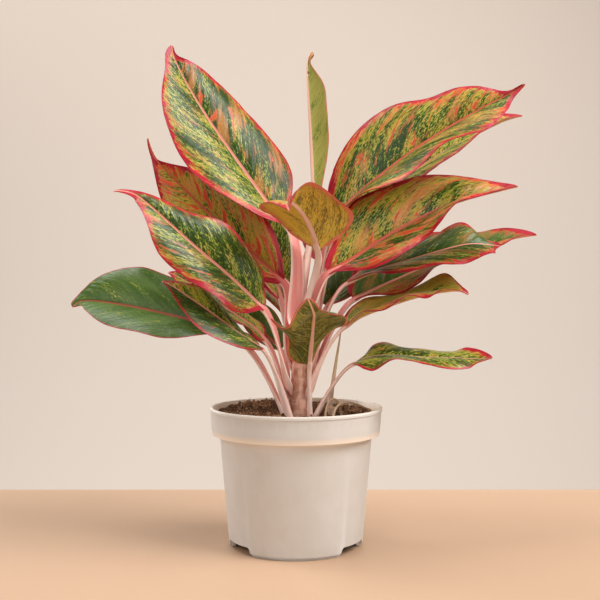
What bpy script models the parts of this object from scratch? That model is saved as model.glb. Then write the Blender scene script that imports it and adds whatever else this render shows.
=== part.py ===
"""Potted chinese evergreen: a red-margined aglaonema in a plastic nursery pot.

Scene units are metres, +Z up. The origin is the middle of the pot's foot, and the plant's front faces -Y.
Sizes below are in millimetres and angles in degrees. Run with blender --background --python part.py.
Every blade, petiole, root and stem is one closed solid, CLEAR away from its neighbours.
"""

import math
from collections import namedtuple

import bmesh
import bpy
from mathutils import Vector, noise

MM = 0.001
CLEAR = 0.35  # gap between pieces that touch

# Pot: a deep rim band over a tapering wall, which stands on an inset foot ring with notches.
RIM_RADIUS = 65.0
POT_HEIGHT = 104.0
BAND_DEPTH = 20.0
BAND_TAPER = 2.0
BAND_STEP = (0.5, 4.0)  # where the inner wall steps out, above the band's foot
WALL_TOP_RADIUS = 57.3
WALL_FOOT_RADIUS = 50.3
WALL = 2.0
LIP_ROUND = 1.0
BAND_CORNER = 1.2  # chamfers of the band's foot
CORNER = 0.5  # chamfers of the pot's foot
FLOOR_ROUND = 2.0  # between the floor's top and the wall
FOOT_HEIGHT = 2.2
FOOT_RADIUS = 48.2
FOOT_WIDTH = 2.6
FLOOR_UNDERSIDE = 6.4
FLOOR = 2.0
PAD_RADIUS = 12.0
NOTCH_ANGLES = (-150.0, -30.0, 90.0)
NOTCH_HALF = 17.0
NOTCH_EDGE = 5.0
NOTCH_RISE = 4.0
SLOT_RADII = (36.0, 44.5)
SLOT_HALF = 15.0
SLOT_STEPS = 6
CUT_MARGIN = 2.0  # how far a slot's cutter stands out of the floor
POT_SIDES = 60

# Potting mix.
SOIL_HEIGHT = 97.0
SOIL_BUMP = 2.2
SOIL_SINK = 2.0  # how much lower the mix lies at the wall
SOIL_GRAIN = 0.09  # bumps for each millimetre
SOIL_NOISE = (0.7, 2.1, 4)  # roughness, lacunarity and octaves
SOIL_RINGS = 9
SOIL_SIDES = 40
STEM_DEPTH = 9.0  # how far a stem stands in the mix
HOLE_SIDES = 12
HOLE_CLEAR = 0.75
FOOT_CLEAR = 1.6  # under a stem's foot
HOLE_HEIGHT = 21.0  # above a stem's foot, past the top of the mix

# Cane: the main stem, with rings where old leaves grew.
CANE_FOOT = (2.0, 0.0)
CANE_TOP = (5.0, 1.0)
CANE_FOOT_RADIUS = 7.0
CANE_TOP_RADIUS = 4.6
CANE_TOP_HEIGHT = 163.0
CANE_SIDES = 12
CANE_RINGS = 22
CANE_BEND = 1.5
SCAR_PITCH = 9.0
SCAR_RISE = 0.35
SCAR_SHARPNESS = 3

# Blades and petioles.
BLADE_START = 0.012  # share of the rib where the blade leaves the petiole
BLADE_END = 0.998
DRIP_START = 0.95  # share of the rib where the blade ends and its thin drip tip begins
DRIP_FADE = 0.90  # share of the rib from which the drip tip narrows
DRIP_HALF_WIDTHS = (1.7, 0.45)
WAVE_LAG = 0.25  # turns between the waves of the two margins and the middle
WAVE_CALM = 5.0  # the wave grows over this fraction of the rib at each end
BLADE_STEPS = 14
BLADE_COLUMNS = 6
END_CROWDING = 0.4  # how much closer the steps lie at the blade's ends
BLADE_THICKNESS = 0.75
RIB_THICKNESS = 1.9  # added under the midrib at the blade's base
RIB_SHARE = 0.4  # of the half width, which the midrib's swelling covers
NUDGE = 0.001  # step along a curve that gives its direction
PETIOLE_STEPS = 7
PETIOLE_SIDES = 8
PETIOLE_FOOT_HALF = (3.1, 1.7)
PETIOLE_TOP_HALF = (2.6, 1.5)
SOIL_PETIOLE_HALF = (2.9, 2.3)
PETIOLE_RISE = 0.26  # shares of the petiole's reach that shape its bend
PETIOLE_LEAN = 0.06
PETIOLE_SWEEP = 0.22
PETIOLE_NARROWING = 1.4  # how soon the sheath at its foot has narrowed

# One row for each leaf. rib: points along the midrib from the base to the tip. face: azimuth and elevation
# that the upper side looks to. fold: how far each half lifts, left then right, seen from the base.
# belly: where the blade is widest. taper: how pointed it is. wave: height, count and phase of the margin's.
# foot: ("cane", azimuth, height), ("soil", x, y) or ("top", 0, 0) for the one that carries the cane on.
Leaf = namedtuple("Leaf", "name rib face twist width fold belly taper wave foot colour")
LEAVES = (
    Leaf("upper_left", ((-4, -3, 240), (-62, 19, 314), (-97, 23, 381)),
         (-66, 23), 0, 84, (8, -2), 0.45, 1.60, (2.0, 2.0, 0.1), ("cane", 200, 150), "streaked"),
    Leaf("bronze_left", ((-9, 14, 198), (-68, 40, 251), (-122, 52, 313)),
         (-98, 14), -10, 58, (17, 20), 0.41, 1.55, (1.5, 2.0, 0.55), ("cane", 160, 134), "bronze"),
    Leaf("left_front", ((-22, -22, 178), (-67, -43, 219), (-122, -51, 264)),
         (-105, 40), -18, 56, (10, 14), 0.41, 1.55, (2.0, 2.0, 0.0), ("cane", 232, 120), "streaked"),
    Leaf("lower_left", ((-25, -14, 150), (-58, -37, 173), (-94, -41, 200)),
         (-102, 56), -6, 43, (3, 3), 0.42, 1.45, (1.5, 2.0, 0.3), ("soil", -6, -11), "green"),
    Leaf("far_left", ((-40, 6, 152), (-119, 22, 178), (-176, 21, 181)),
         (-89, 37), -18, 63, (20, 20), 0.50, 1.50, (1.0, 2.0, 0.7), ("soil", -11, 1), "dark"),
    Leaf("inner_left", ((-22, 4, 154), (-59, 9, 183), (-98, 13, 207)),
         (-91, 60), -5, 38, (12, 4), 0.42, 1.45, (1.5, 2.0, 0.2), ("cane", 184, 106), "green"),
    Leaf("low_back_left", ((-11, 16, 146), (-50, 40, 176), (-90, 62, 196)),
         (-80, 55), 0, 44, (12, 12), 0.42, 1.45, (2.0, 2.0, 0.5), ("cane", 145, 108), "dark"),
    Leaf("back_left", ((-11, 27, 184), (-26, 58, 250), (-36, 84, 308)),
         (-75, 10), 0, 50, (14, 14), 0.42, 1.50, (2.0, 2.0, 0.9), ("cane", 118, 126), "green"),
    Leaf("spire", ((15, 2, 256), (10, 4, 318), (11, 3, 377)),
         (0, 5), 5, 33, (64, 68), 0.50, 1.10, (0.5, 1.5, 0.0), ("top", 0, 0), "young"),
    Leaf("centre", ((17, -16, 222), (0, -56, 250), (-6, -104, 245)),
         (91, 79), 42, 63, (32, 8), 0.31, 1.45, (1.0, 1.5, 0.4), ("cane", 268, 156), "young"),
    Leaf("upper_right", ((31, 5, 250), (92, 5, 301), (180, 15, 348)),
         (-109, 39), 30, 76, (28, 26), 0.42, 1.35, (2.0, 2.5, 0.0), ("cane", 345, 152), "streaked"),
    Leaf("upper_right_back", ((38, 26, 242), (110, 48, 296), (182, 60, 335)),
         (-110, 55), -14, 60, (20, 22), 0.42, 1.45, (2.0, 2.5, 0.35), ("cane", 35, 144), "green"),
    Leaf("right_front", ((22, -19, 204), (95, -14, 247), (157, -45, 267)),
         (-72, 47), -16, 72, (18, 23), 0.44, 1.60, (2.0, 2.0, 0.6), ("cane", 300, 140), "streaked"),
    Leaf("right_tent", ((37, -2, 198), (105, -9, 221), (154, 0, 226)),
         (-90, 62), 30, 53, (5, 6), 0.46, 1.45, (3.0, 2.5, 0.0), ("cane", 335, 126), "dark"),
    Leaf("right_long", ((43, 10, 185), (106, 35, 211), (191, 33, 238)),
         (-88, 62), -15, 64, (22, 22), 0.42, 1.30, (2.5, 2.5, 0.0), ("cane", 18, 119), "bronze"),
    Leaf("right_low", ((35, -10, 165), (86, -8, 184), (127, -25, 191)),
         (-80, 86), 18, 50, (16, 4), 0.43, 1.30, (3.0, 2.5, 0.0), ("cane", 318, 110), "green"),
    Leaf("front", ((10, -21, 137), (11, -54, 165), (9, -100, 186)),
         (90, 66), 0, 56, (-6, -6), 0.60, 1.80, (2.0, 1.5, 0.2), ("soil", 11, -11), "young"),
    Leaf("lower_right", ((42, -11, 138), (84, -17, 144), (147, -21, 140)),
         (-92, 78), 8, 45, (6, 2), 0.47, 1.20, (3.5, 2.5, 0.0), ("soil", 15, -3), "green"),
    Leaf("low_back_right", ((24, 30, 180), (52, 66, 202), (92, 104, 212)),
         (-110, 70), 0, 52, (10, 10), 0.42, 1.45, (2.0, 2.0, 0.45), ("cane", 60, 110), "green"),
    Leaf("rear_left", ((-4, 28, 166), (-30, 78, 196), (-66, 122, 206)),
         (-70, 68), 0, 56, (12, 12), 0.42, 1.45, (2.0, 2.0, 0.8), ("cane", 100, 106), "green"),
    Leaf("rear_right", ((18, 24, 214), (40, 66, 252), (66, 112, 272)),
         (-100, 50), 0, 58, (12, 12), 0.42, 1.45, (2.0, 2.0, 0.15), ("cane", 80, 136), "streaked"),
)

# Young rolled shoot, aerial roots and the stub of an old petiole. Their feet stand STEM_DEPTH deep.
Tube = namedtuple("Tube", "name path radii steps finish")
TUBES = (
    Tube("shoot", ((25, 9, 88), (25, 9, 108), (31, 6, 138), (34, 3, 161)), (2.5, 0.7), 10, "shoot"),
    Tube("root_loop", ((22, -9, 88), (20, -9, 118), (36, -7, 118), (34, -7, 88)), (0.85, 0.85), 16, "root"),
    Tube("root_runner", ((27, -15, 88), (26, -16, 118), (44, -6, 107), (57, 0, 101)), (0.85, 0.85), 14,
         "root"),
    Tube("stub", ((27, 0, 88), (27, 0, 97), (27, -0.5, 104)), (3.0, 3.0), 3, "root"),
)
TUBE_SIDES = 8
SHARP_ANGLE = 45.0  # edges sharper than this stay sharp in shading

# Colour, roughness and metallic value of each material.
FINISHES = {
    "pot": ((0.74, 0.66, 0.56), 0.42, 0.0),
    "soil": ((0.055, 0.035, 0.025), 0.95, 0.0),
    "cane": ((0.42, 0.22, 0.19), 0.55, 0.0),
    "petiole": ((0.78, 0.45, 0.42), 0.42, 0.0),
    "shoot": ((0.78, 0.66, 0.55), 0.45, 0.0),
    "root": ((0.62, 0.42, 0.26), 0.70, 0.0),
    "streaked": ((0.30, 0.36, 0.12), 0.38, 0.0),
    "bronze": ((0.36, 0.20, 0.09), 0.40, 0.0),
    "green": ((0.16, 0.26, 0.07), 0.38, 0.0),
    "dark": ((0.08, 0.17, 0.05), 0.36, 0.0),
    "young": ((0.34, 0.32, 0.11), 0.42, 0.0),
}


def clear_scene():
    for obj in list(bpy.data.objects):
        bpy.data.objects.remove(obj, do_unlink=True)


def material(name, finish):
    colour, roughness, metallic = FINISHES[finish]
    made = bpy.data.materials.new(name)
    made.use_nodes = True
    made.diffuse_color = (*colour, 1.0)
    shader = made.node_tree.nodes["Principled BSDF"]
    shader.inputs["Base Color"].default_value = (*colour, 1.0)
    shader.inputs["Roughness"].default_value = roughness
    shader.inputs["Metallic"].default_value = metallic
    return made


def add_object(name, bm, finish, smooth=True):
    """Scales a mesh drawn in millimetres to metres and makes it an object with its own material."""
    bmesh.ops.scale(bm, vec=(MM, MM, MM), verts=bm.verts)
    bmesh.ops.recalc_face_normals(bm, faces=bm.faces)
    mesh = bpy.data.meshes.new(name)
    bm.to_mesh(mesh)
    bm.free()
    if smooth:
        mesh.shade_smooth()
        mesh.set_sharp_from_angle(angle=math.radians(SHARP_ANGLE))
    mesh.materials.append(material(name, finish))
    obj = bpy.data.objects.new(name, mesh)
    bpy.context.collection.objects.link(obj)
    return obj


def loft(rings):
    """A solid through rings of points, with flat ends."""
    bm = bmesh.new()
    loops = [[bm.verts.new(point) for point in ring] for ring in rings]
    for low, high in zip(loops, loops[1:]):
        count = len(low)
        for i in range(count):
            j = (i + 1) % count
            bm.faces.new((low[i], low[j], high[j], high[i]))
    bm.faces.new(loops[0])
    bm.faces.new(loops[-1])
    return bm


def smoothstep(t):
    t = min(1.0, max(0.0, t))
    return t * t * (3.0 - 2.0 * t)


def mix(a, b, t):
    return a + (b - a) * t


def polar(radius, degrees, height):
    angle = math.radians(degrees)
    return Vector((radius * math.cos(angle), radius * math.sin(angle), height))


def direction(azimuth, elevation):
    level = math.cos(math.radians(elevation))
    return polar(level, azimuth, math.sin(math.radians(elevation)))


# Pot


def notch(degrees):
    """1 inside a notch of the foot, 0 outside it, with a soft edge."""
    away = min(abs((degrees - middle + 180.0) % 360.0 - 180.0) for middle in NOTCH_ANGLES)
    return smoothstep((NOTCH_HALF + NOTCH_EDGE - away) / NOTCH_EDGE)


def pot_profile(cut):
    """Radius and height round the pot's section, up the outside and down the inside."""
    band_foot = POT_HEIGHT - BAND_DEPTH
    edge = FOOT_HEIGHT + NOTCH_RISE * cut
    ring = FLOOR_UNDERSIDE * cut
    return (
        (PAD_RADIUS, 0.0),
        (PAD_RADIUS + CORNER, FLOOR_UNDERSIDE),
        (FOOT_RADIUS - FOOT_WIDTH - CORNER, FLOOR_UNDERSIDE),
        (FOOT_RADIUS - FOOT_WIDTH, ring),
        (FOOT_RADIUS - CORNER, ring),
        (FOOT_RADIUS, max(edge - CORNER, ring)),
        (WALL_FOOT_RADIUS - CORNER, edge),
        (WALL_FOOT_RADIUS, edge + CORNER),
        (WALL_TOP_RADIUS, band_foot - 2.0 * BAND_CORNER),
        (WALL_TOP_RADIUS + BAND_CORNER, band_foot),
        (RIM_RADIUS - BAND_TAPER - BAND_CORNER, band_foot),
        (RIM_RADIUS - BAND_TAPER, band_foot + BAND_CORNER),
        (RIM_RADIUS, POT_HEIGHT - LIP_ROUND),
        (RIM_RADIUS - 0.5 * LIP_ROUND, POT_HEIGHT),
        (RIM_RADIUS - WALL, POT_HEIGHT),
        (RIM_RADIUS - BAND_TAPER - WALL, band_foot + BAND_STEP[1]),
        (WALL_TOP_RADIUS - WALL, band_foot + BAND_STEP[0]),
        (WALL_FOOT_RADIUS - WALL, FLOOR_UNDERSIDE + FLOOR + FLOOR_ROUND),
        (WALL_FOOT_RADIUS - WALL - FLOOR_ROUND, FLOOR_UNDERSIDE + FLOOR),
    )


def wall_inside_radius(height):
    """The pot's inner radius at a height."""
    inside = sorted(pot_profile(0.0)[-5:], key=lambda point: point[1])
    for (r0, z0), (r1, z1) in zip(inside, inside[1:]):
        if height <= z1:
            return mix(r0, r1, max(0.0, (height - z0) / (z1 - z0)))
    return inside[-1][0]


def slot_cutter(middle):
    """A curved bar that cuts one drain slot through the floor."""
    low = FLOOR_UNDERSIDE - CUT_MARGIN
    high = FLOOR_UNDERSIDE + FLOOR + CUT_MARGIN
    inner, outer = SLOT_RADII
    rings = []
    for step in range(SLOT_STEPS + 1):
        angle = middle + SLOT_HALF * (2.0 * step / SLOT_STEPS - 1.0)
        corners = ((inner, low), (outer, low), (outer, high), (inner, high))
        rings.append([polar(r, angle, z) for r, z in corners])
    return loft(rings)


def cut(target, name, bm):
    """Takes a shape out of an object. The cutter stays in the scene, hidden from renders."""
    cutter = add_object(name, bm, target.name, smooth=False)
    cutter.hide_render = True
    cutter.display_type = "WIRE"
    made = target.modifiers.new(cutter.name, "BOOLEAN")
    made.operation = "DIFFERENCE"
    made.object = cutter


def add_pot():
    rings = []
    for side in range(POT_SIDES):
        angle = 360.0 * side / POT_SIDES
        rings.append([polar(r, angle, z) for r, z in pot_profile(notch(angle))])
    bm = bmesh.new()
    columns = [[bm.verts.new(point) for point in ring] for ring in rings]
    under = bm.verts.new((0.0, 0.0, 0.0))
    floor = bm.verts.new((0.0, 0.0, FLOOR_UNDERSIDE + FLOOR))
    for side, column in enumerate(columns):
        following = columns[(side + 1) % POT_SIDES]
        for i in range(len(column) - 1):
            bm.faces.new((column[i], following[i], following[i + 1], column[i + 1]))
        bm.faces.new((under, following[0], column[0]))
        bm.faces.new((floor, column[-1], following[-1]))
    pot = add_object("pot", bm, "pot")
    for middle in NOTCH_ANGLES:
        cut(pot, "cut_slot", slot_cutter(middle))


# Potting mix


def soil_height(x, y):
    """Uneven top of the mix, a little lower towards the wall."""
    bump = noise.fractal(Vector((x, y, 3.0)) * SOIL_GRAIN, *SOIL_NOISE)
    edge = (math.hypot(x, y) / RIM_RADIUS) ** 4
    return SOIL_HEIGHT + SOIL_BUMP * bump - SOIL_SINK * edge


def add_soil(holes):
    """A plug that fills the pot, with a plain hole for each stem: its foot, its way up and its radius."""
    low = FLOOR_UNDERSIDE + FLOOR + CLEAR
    rim = wall_inside_radius(SOIL_HEIGHT - 2.0 * SOIL_BUMP) - CLEAR
    waist, shoulder = (POT_HEIGHT - BAND_DEPTH + step for step in BAND_STEP)
    side_levels = [
        (WALL_FOOT_RADIUS - WALL - FLOOR_ROUND - CLEAR, low),
        (WALL_FOOT_RADIUS - WALL - CLEAR, low + FLOOR_ROUND),
        (wall_inside_radius(waist) - CLEAR, waist),
        (wall_inside_radius(shoulder) - CLEAR, shoulder + CLEAR),
    ]
    bm = bmesh.new()
    loops = []
    for radius, height in side_levels:
        points = [polar(radius, 360.0 * i / SOIL_SIDES, height) for i in range(SOIL_SIDES)]
        loops.append([bm.verts.new(point) for point in points])
    for ring in range(SOIL_RINGS):
        radius = rim * (1.0 - ring / SOIL_RINGS)
        points = [polar(radius, 360.0 * (i + 0.5 * (ring % 2)) / SOIL_SIDES, 0.0) for i in range(SOIL_SIDES)]
        loops.append([bm.verts.new((p.x, p.y, soil_height(p.x, p.y))) for p in points])
    for lower, upper in zip(loops, loops[1:]):
        for i in range(SOIL_SIDES):
            j = (i + 1) % SOIL_SIDES
            bm.faces.new((lower[i], lower[j], upper[j], upper[i]))
    bottom = bm.verts.new((0.0, 0.0, low))
    top = bm.verts.new((0.0, 0.0, soil_height(0.0, 0.0)))
    for i in range(SOIL_SIDES):
        j = (i + 1) % SOIL_SIDES
        bm.faces.new((bottom, loops[0][j], loops[0][i]))
        bm.faces.new((top, loops[-1][i], loops[-1][j]))
    bmesh.ops.triangulate(bm, faces=bm.faces)
    soil = add_object("soil", bm, "soil", smooth=False)
    for foot, along, radius in holes:
        along = along / along.z
        rings = []
        for height in (-FOOT_CLEAR, HOLE_HEIGHT):
            middle = foot + along * height
            rings.append([middle + polar(radius, 360.0 * i / HOLE_SIDES, 0.0) for i in range(HOLE_SIDES)])
        cut(soil, "cut_hole", loft(rings))


# Cane


def cane_share(height):
    return (height - SOIL_HEIGHT + STEM_DEPTH) / (CANE_TOP_HEIGHT - SOIL_HEIGHT + STEM_DEPTH)


def cane_centre(height):
    t = max(0.0, cane_share(height)) ** CANE_BEND
    return Vector((mix(CANE_FOOT[0], CANE_TOP[0], t), mix(CANE_FOOT[1], CANE_TOP[1], t), height))


def cane_radius(height):
    """Tapers upwards, without the scars."""
    return mix(CANE_FOOT_RADIUS, CANE_TOP_RADIUS, cane_share(height))


def add_cane():
    rings = []
    for step in range(CANE_RINGS + 1):
        height = mix(SOIL_HEIGHT - STEM_DEPTH, CANE_TOP_HEIGHT, step / CANE_RINGS)
        scar = max(0.0, math.cos(2.0 * math.pi * height / SCAR_PITCH)) ** SCAR_SHARPNESS
        radius = cane_radius(height) - SCAR_RISE * (1.0 - scar)
        centre = cane_centre(height)
        rings.append([centre + polar(radius, 360.0 * i / CANE_SIDES, 0.0) for i in range(CANE_SIDES)])
    add_object("cane", loft(rings), "cane")


# Leaves


def rib_point(leaf, u):
    """The midrib is the parabola through the leaf's three points."""
    base, middle, tip = (Vector(point) for point in leaf.rib)
    return base * ((1 - 2 * u) * (1 - u)) + middle * (4 * u * (1 - u)) + tip * (u * (2 * u - 1))


def rib_frame(leaf, u):
    """Unit vectors along the midrib, to its right side and out of its upper face."""
    along = (rib_point(leaf, u + NUDGE) - rib_point(leaf, u - NUDGE)).normalized()
    face = direction(*leaf.face)
    upper = (face - along * face.dot(along)).normalized()
    right = along.cross(upper)
    turn = math.radians(leaf.twist) * (u - 0.5)
    turned = upper * math.cos(turn) + right * math.sin(turn)
    return along, along.cross(turned), turned


def half_width(leaf, u):
    a = leaf.belly * leaf.taper
    b = (1.0 - leaf.belly) * leaf.taper
    peak = leaf.belly**a * (1.0 - leaf.belly) ** b
    t = min(1.0, u / DRIP_START)
    drip = mix(*DRIP_HALF_WIDTHS, smoothstep((u - DRIP_FADE) / (1.0 - DRIP_FADE)))
    return max(drip, 0.5 * leaf.width * t**a * (1.0 - t) ** b / peak)


def blade_point(leaf, u, v):
    """A point of the upper face: u from base to tip, v from -1 at the left margin to 1 at the right."""
    _, right, upper = rib_frame(leaf, u)
    fold = math.radians(leaf.fold[0] if v < 0 else leaf.fold[1])
    reach = half_width(leaf, u) * v
    height, count, phase = leaf.wave
    turns = count * u + phase + math.copysign(WAVE_LAG, v)
    calm = min(1.0, WAVE_CALM * u, WAVE_CALM * (1.0 - u))
    lift = abs(reach) * math.sin(fold) + height * v * v * calm * math.sin(2.0 * math.pi * turns)
    return rib_point(leaf, u) + right * (reach * math.cos(fold)) + upper * lift


def add_blade(leaf):
    """A waved sheet, split into triangles, then thickened so that both faces have the same triangles."""
    bm = bmesh.new()
    bmesh.ops.create_grid(bm, x_segments=BLADE_STEPS, y_segments=BLADE_COLUMNS, size=1.0)
    shares = []
    for vert in bm.verts:
        share = 0.5 * (vert.co.x + 1.0)
        u = mix(BLADE_START, BLADE_END, mix(share, smoothstep(share), END_CROWDING))
        shares.append((vert, u, vert.co.y))
        vert.co = blade_point(leaf, u, vert.co.y)
    bmesh.ops.triangulate(bm, faces=bm.faces, quad_method="SHORT_EDGE")
    bm.normal_update()
    depths = {}
    for vert, u, v in shares:
        _, _, upper = rib_frame(leaf, u)
        ridge = RIB_THICKNESS * (1.0 - u) * max(0.0, 1.0 - abs(v) / RIB_SHARE)
        facing = math.copysign(1.0, vert.normal.dot(upper))
        depths[tuple(vert.co)] = vert.normal * facing * (BLADE_THICKNESS + ridge)
    made = bmesh.ops.extrude_face_region(bm, geom=bm.faces[:], use_keep_orig=True)
    for item in made["geom"]:
        if isinstance(item, bmesh.types.BMVert):
            item.co -= depths[tuple(item.co)]
    add_object("blade_" + leaf.name, bm, leaf.colour)


def petiole_ends(leaf):
    """Foot and top of a petiole's centre line, and the way that its inner side looks at the foot."""
    kind, first, second = leaf.foot
    if kind == "soil":
        foot = Vector((first, second, SOIL_HEIGHT - STEM_DEPTH))
        inward = (Vector((*CANE_FOOT, 0.0)) - Vector((first, second, 0.0))).normalized()
    elif kind == "top":
        foot = cane_centre(CANE_TOP_HEIGHT + 2.0 * CLEAR)
        inward = Vector((1.0, 0.0, 0.0))
    else:
        outward = polar(1.0, first, 0.0)
        foot = cane_centre(second) + outward * (cane_radius(second) + PETIOLE_FOOT_HALF[1] + CLEAR)
        inward = -outward
    along, _, upper = rib_frame(leaf, BLADE_START)
    top = rib_point(leaf, BLADE_START) - along * CLEAR - upper * PETIOLE_TOP_HALF[1]
    return foot, top, inward


def petiole_centre(leaf, t):
    """Rises along the cane, then bends out to meet the blade's midrib."""
    foot, top, inward = petiole_ends(leaf)
    along, _, _ = rib_frame(leaf, BLADE_START)
    reach = (top - foot).length
    turn = top - along * PETIOLE_SWEEP * reach
    rise = Vector((0.0, 0.0, PETIOLE_RISE * reach)) - inward * PETIOLE_LEAN * reach
    if leaf.foot[0] == "soil":
        rise = (turn - foot).normalized() * PETIOLE_RISE * reach
    points = (foot, foot + rise, turn, top)
    weights = ((1 - t) ** 3, 3 * t * (1 - t) ** 2, 3 * t * t * (1 - t), t**3)
    return sum((point * weight for point, weight in zip(points, weights)), Vector())


def add_petiole(leaf):
    _, _, inward = petiole_ends(leaf)
    _, _, upper = rib_frame(leaf, BLADE_START)
    foot_half = SOIL_PETIOLE_HALF if leaf.foot[0] == "soil" else PETIOLE_FOOT_HALF
    rings = []
    for step in range(PETIOLE_STEPS + 1):
        t = step / PETIOLE_STEPS
        centre = petiole_centre(leaf, t)
        along = (petiole_centre(leaf, t + NUDGE) - petiole_centre(leaf, t - NUDGE)).normalized()
        inner = inward.lerp(upper, smoothstep(t))
        inner = (inner - along * inner.dot(along)).normalized()
        side = along.cross(inner)
        narrowed = smoothstep(PETIOLE_NARROWING * t)
        wide = mix(foot_half[0], PETIOLE_TOP_HALF[0], narrowed)
        deep = mix(foot_half[1], PETIOLE_TOP_HALF[1], narrowed)
        ring = []
        for i in range(PETIOLE_SIDES):
            angle = 2.0 * math.pi * (i + 0.5) / PETIOLE_SIDES
            ring.append(centre + side * wide * math.cos(angle) + inner * deep * math.sin(angle))
        rings.append(ring)
    add_object("petiole_" + leaf.name, loft(rings), "petiole")


# Shoot, roots and stub


def curve_point(path, t):
    """A smooth curve near the path's points: a Bezier of the path's own order."""
    order = len(path) - 1
    total = Vector()
    for i, point in enumerate(path):
        total += Vector(point) * (math.comb(order, i) * t**i * (1 - t) ** (order - i))
    return total


def add_tube(tube):
    rings = []
    side = Vector((0.0, 1.0, 0.0))
    for step in range(tube.steps + 1):
        t = step / tube.steps
        along = (curve_point(tube.path, t + NUDGE) - curve_point(tube.path, t - NUDGE)).normalized()
        side = (side - along * side.dot(along)).normalized()
        other = along.cross(side)
        radius = mix(*tube.radii, t)
        ring = []
        for i in range(TUBE_SIDES):
            angle = 2.0 * math.pi * i / TUBE_SIDES
            spoke = side * math.cos(angle) + other * math.sin(angle)
            ring.append(curve_point(tube.path, t) + spoke * radius)
        rings.append(ring)
    add_object(tube.name, loft(rings), tube.finish)


def stem_holes():
    """The plain holes in the mix: the foot of each, its way up and its radius."""
    upright = Vector((0.0, 0.0, 1.0))
    holes = [(Vector((*CANE_FOOT, SOIL_HEIGHT - STEM_DEPTH)), upright, CANE_FOOT_RADIUS + CLEAR)]
    for leaf in LEAVES:
        if leaf.foot[0] == "soil":
            foot = petiole_centre(leaf, 0.0)
            holes.append((foot, petiole_centre(leaf, 0.1) - foot, SOIL_PETIOLE_HALF[0] + HOLE_CLEAR))
    for tube in TUBES:
        for end in (0, -1):
            if tube.path[end][2] < SOIL_HEIGHT:
                holes.append((Vector(tube.path[end]), upright, tube.radii[end] + HOLE_CLEAR))
    return holes


def main():
    clear_scene()
    add_pot()
    add_soil(stem_holes())
    add_cane()
    for leaf in LEAVES:
        add_blade(leaf)
        add_petiole(leaf)
    for tube in TUBES:
        add_tube(tube)


main()
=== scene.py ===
"""Looks of a potted chinese evergreen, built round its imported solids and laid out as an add-on.

Lengths in the tables are millimetres, in the solids' own frame: +Z up, the plant's front towards -Y.
"""

import math
import random
from collections import namedtuple
from functools import lru_cache

import bmesh
import bpy
from bpy.props import FloatProperty, FloatVectorProperty, IntProperty, PointerProperty
from mathutils import Euler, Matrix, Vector, noise


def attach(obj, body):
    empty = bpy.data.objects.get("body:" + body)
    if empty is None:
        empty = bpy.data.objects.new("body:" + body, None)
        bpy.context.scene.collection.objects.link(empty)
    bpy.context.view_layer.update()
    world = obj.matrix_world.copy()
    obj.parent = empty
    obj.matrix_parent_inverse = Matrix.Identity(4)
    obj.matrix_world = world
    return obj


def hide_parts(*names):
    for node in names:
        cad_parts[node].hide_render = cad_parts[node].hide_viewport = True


bl_info = {
    "name": "Potted chinese evergreen",
    "version": (1, 0, 0),
    "blender": (4, 5, 0),
    "location": "View3D > Sidebar > Evergreen",
    "description": "Builds the leaves, stems, potting mix and pot of a red-margined aglaonema",
    "category": "Add Mesh",
}

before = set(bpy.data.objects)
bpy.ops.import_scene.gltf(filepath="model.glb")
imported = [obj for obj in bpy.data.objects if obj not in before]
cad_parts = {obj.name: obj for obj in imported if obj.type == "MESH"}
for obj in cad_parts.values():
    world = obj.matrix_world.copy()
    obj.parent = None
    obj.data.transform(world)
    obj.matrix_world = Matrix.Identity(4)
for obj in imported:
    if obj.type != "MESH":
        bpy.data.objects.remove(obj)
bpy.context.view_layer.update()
MM = 0.001

# Sizes that the solids have, for the pieces that follow them.
POT_FLOOR = 8.4
SOIL_LEVEL = 97.0
STEM_DEPTH = 9.0
CANE_FOOT = (2.0, 0.0)
CANE_TOP = (5.0, 1.0)
CANE_RADII = (7.5, 5.9)
CANE_TOP_HEIGHT = 163.0
CANE_BEND = 1.5
BLADE_START = 0.012
BLADE_END = 0.998
DRIP_FADE = 0.94
DRIP_HALF_WIDTHS = (0.9, 0.3)
WAVE_LAG = 0.25
WAVE_CALM = 5.0
PETIOLE_FOOT_HALF = (3.5, 1.8)
PETIOLE_TOP_HALF = (2.85, 1.5)
SOIL_PETIOLE_HALF = (3.2, 2.3)
PETIOLE_RISE = 0.26
PETIOLE_LEAN = 0.06
PETIOLE_SWEEP = 0.22
NUDGE = 0.001
HOOK_START = 0.88
RIB_SETTLES = 0.12
LIFT_CALM = 8.0
LEAST_HALF_WIDTH = 0.3
CLOSE_START = 0.90
ARCH = 0.09
CLOSE_POWER = 1.6
OUTLINE_SETTLES = 0.03

# The finer form of a blade: midrib with its groove above and its keel below, side veins, margin and edge.
RIB_HALF = 1.75
RIB_TIP_HALF = 0.5
RIB_GROOVE = 0.85
RIB_GROOVE_FADE = 0.6
KEEL = 1.1
KEEL_HALF = 1.3
KEEL_FADE = 0.8
KEEL_TIP_SHARE = 0.4
VEIN_LEAN = 0.95
VEIN_CURL = 0.75
PLEAT_ROUNDNESS = 0.8
PLEAT_MIDDLE = 0.6
PLEAT_START = (0.03, 0.25)
PLEAT_END = (0.65, 1.0)
PLEAT_ROOM = (4.0, 14.0)
FLUTTER = 0.9
FLUTTER_LENGTHS = (30.0, 22.0)
RUFFLE_LENGTH = 9.0
RUFFLE_START = 0.7
SIDE_GAP = 3.0
SEED_GAP = 9.0
EDGE_THINNING = 0.45
EDGE_START = 0.9
STEP_EASE = 0.3
COLUMN_CROWDING = 1.35
VALLEYS = {"front": 10.0}
VALLEY_PLACE = 0.60
VALLEY_HALF = 0.36
VALLEY_START = (0.15, 0.40)
VALLEY_END = (0.80, 0.95)

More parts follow.
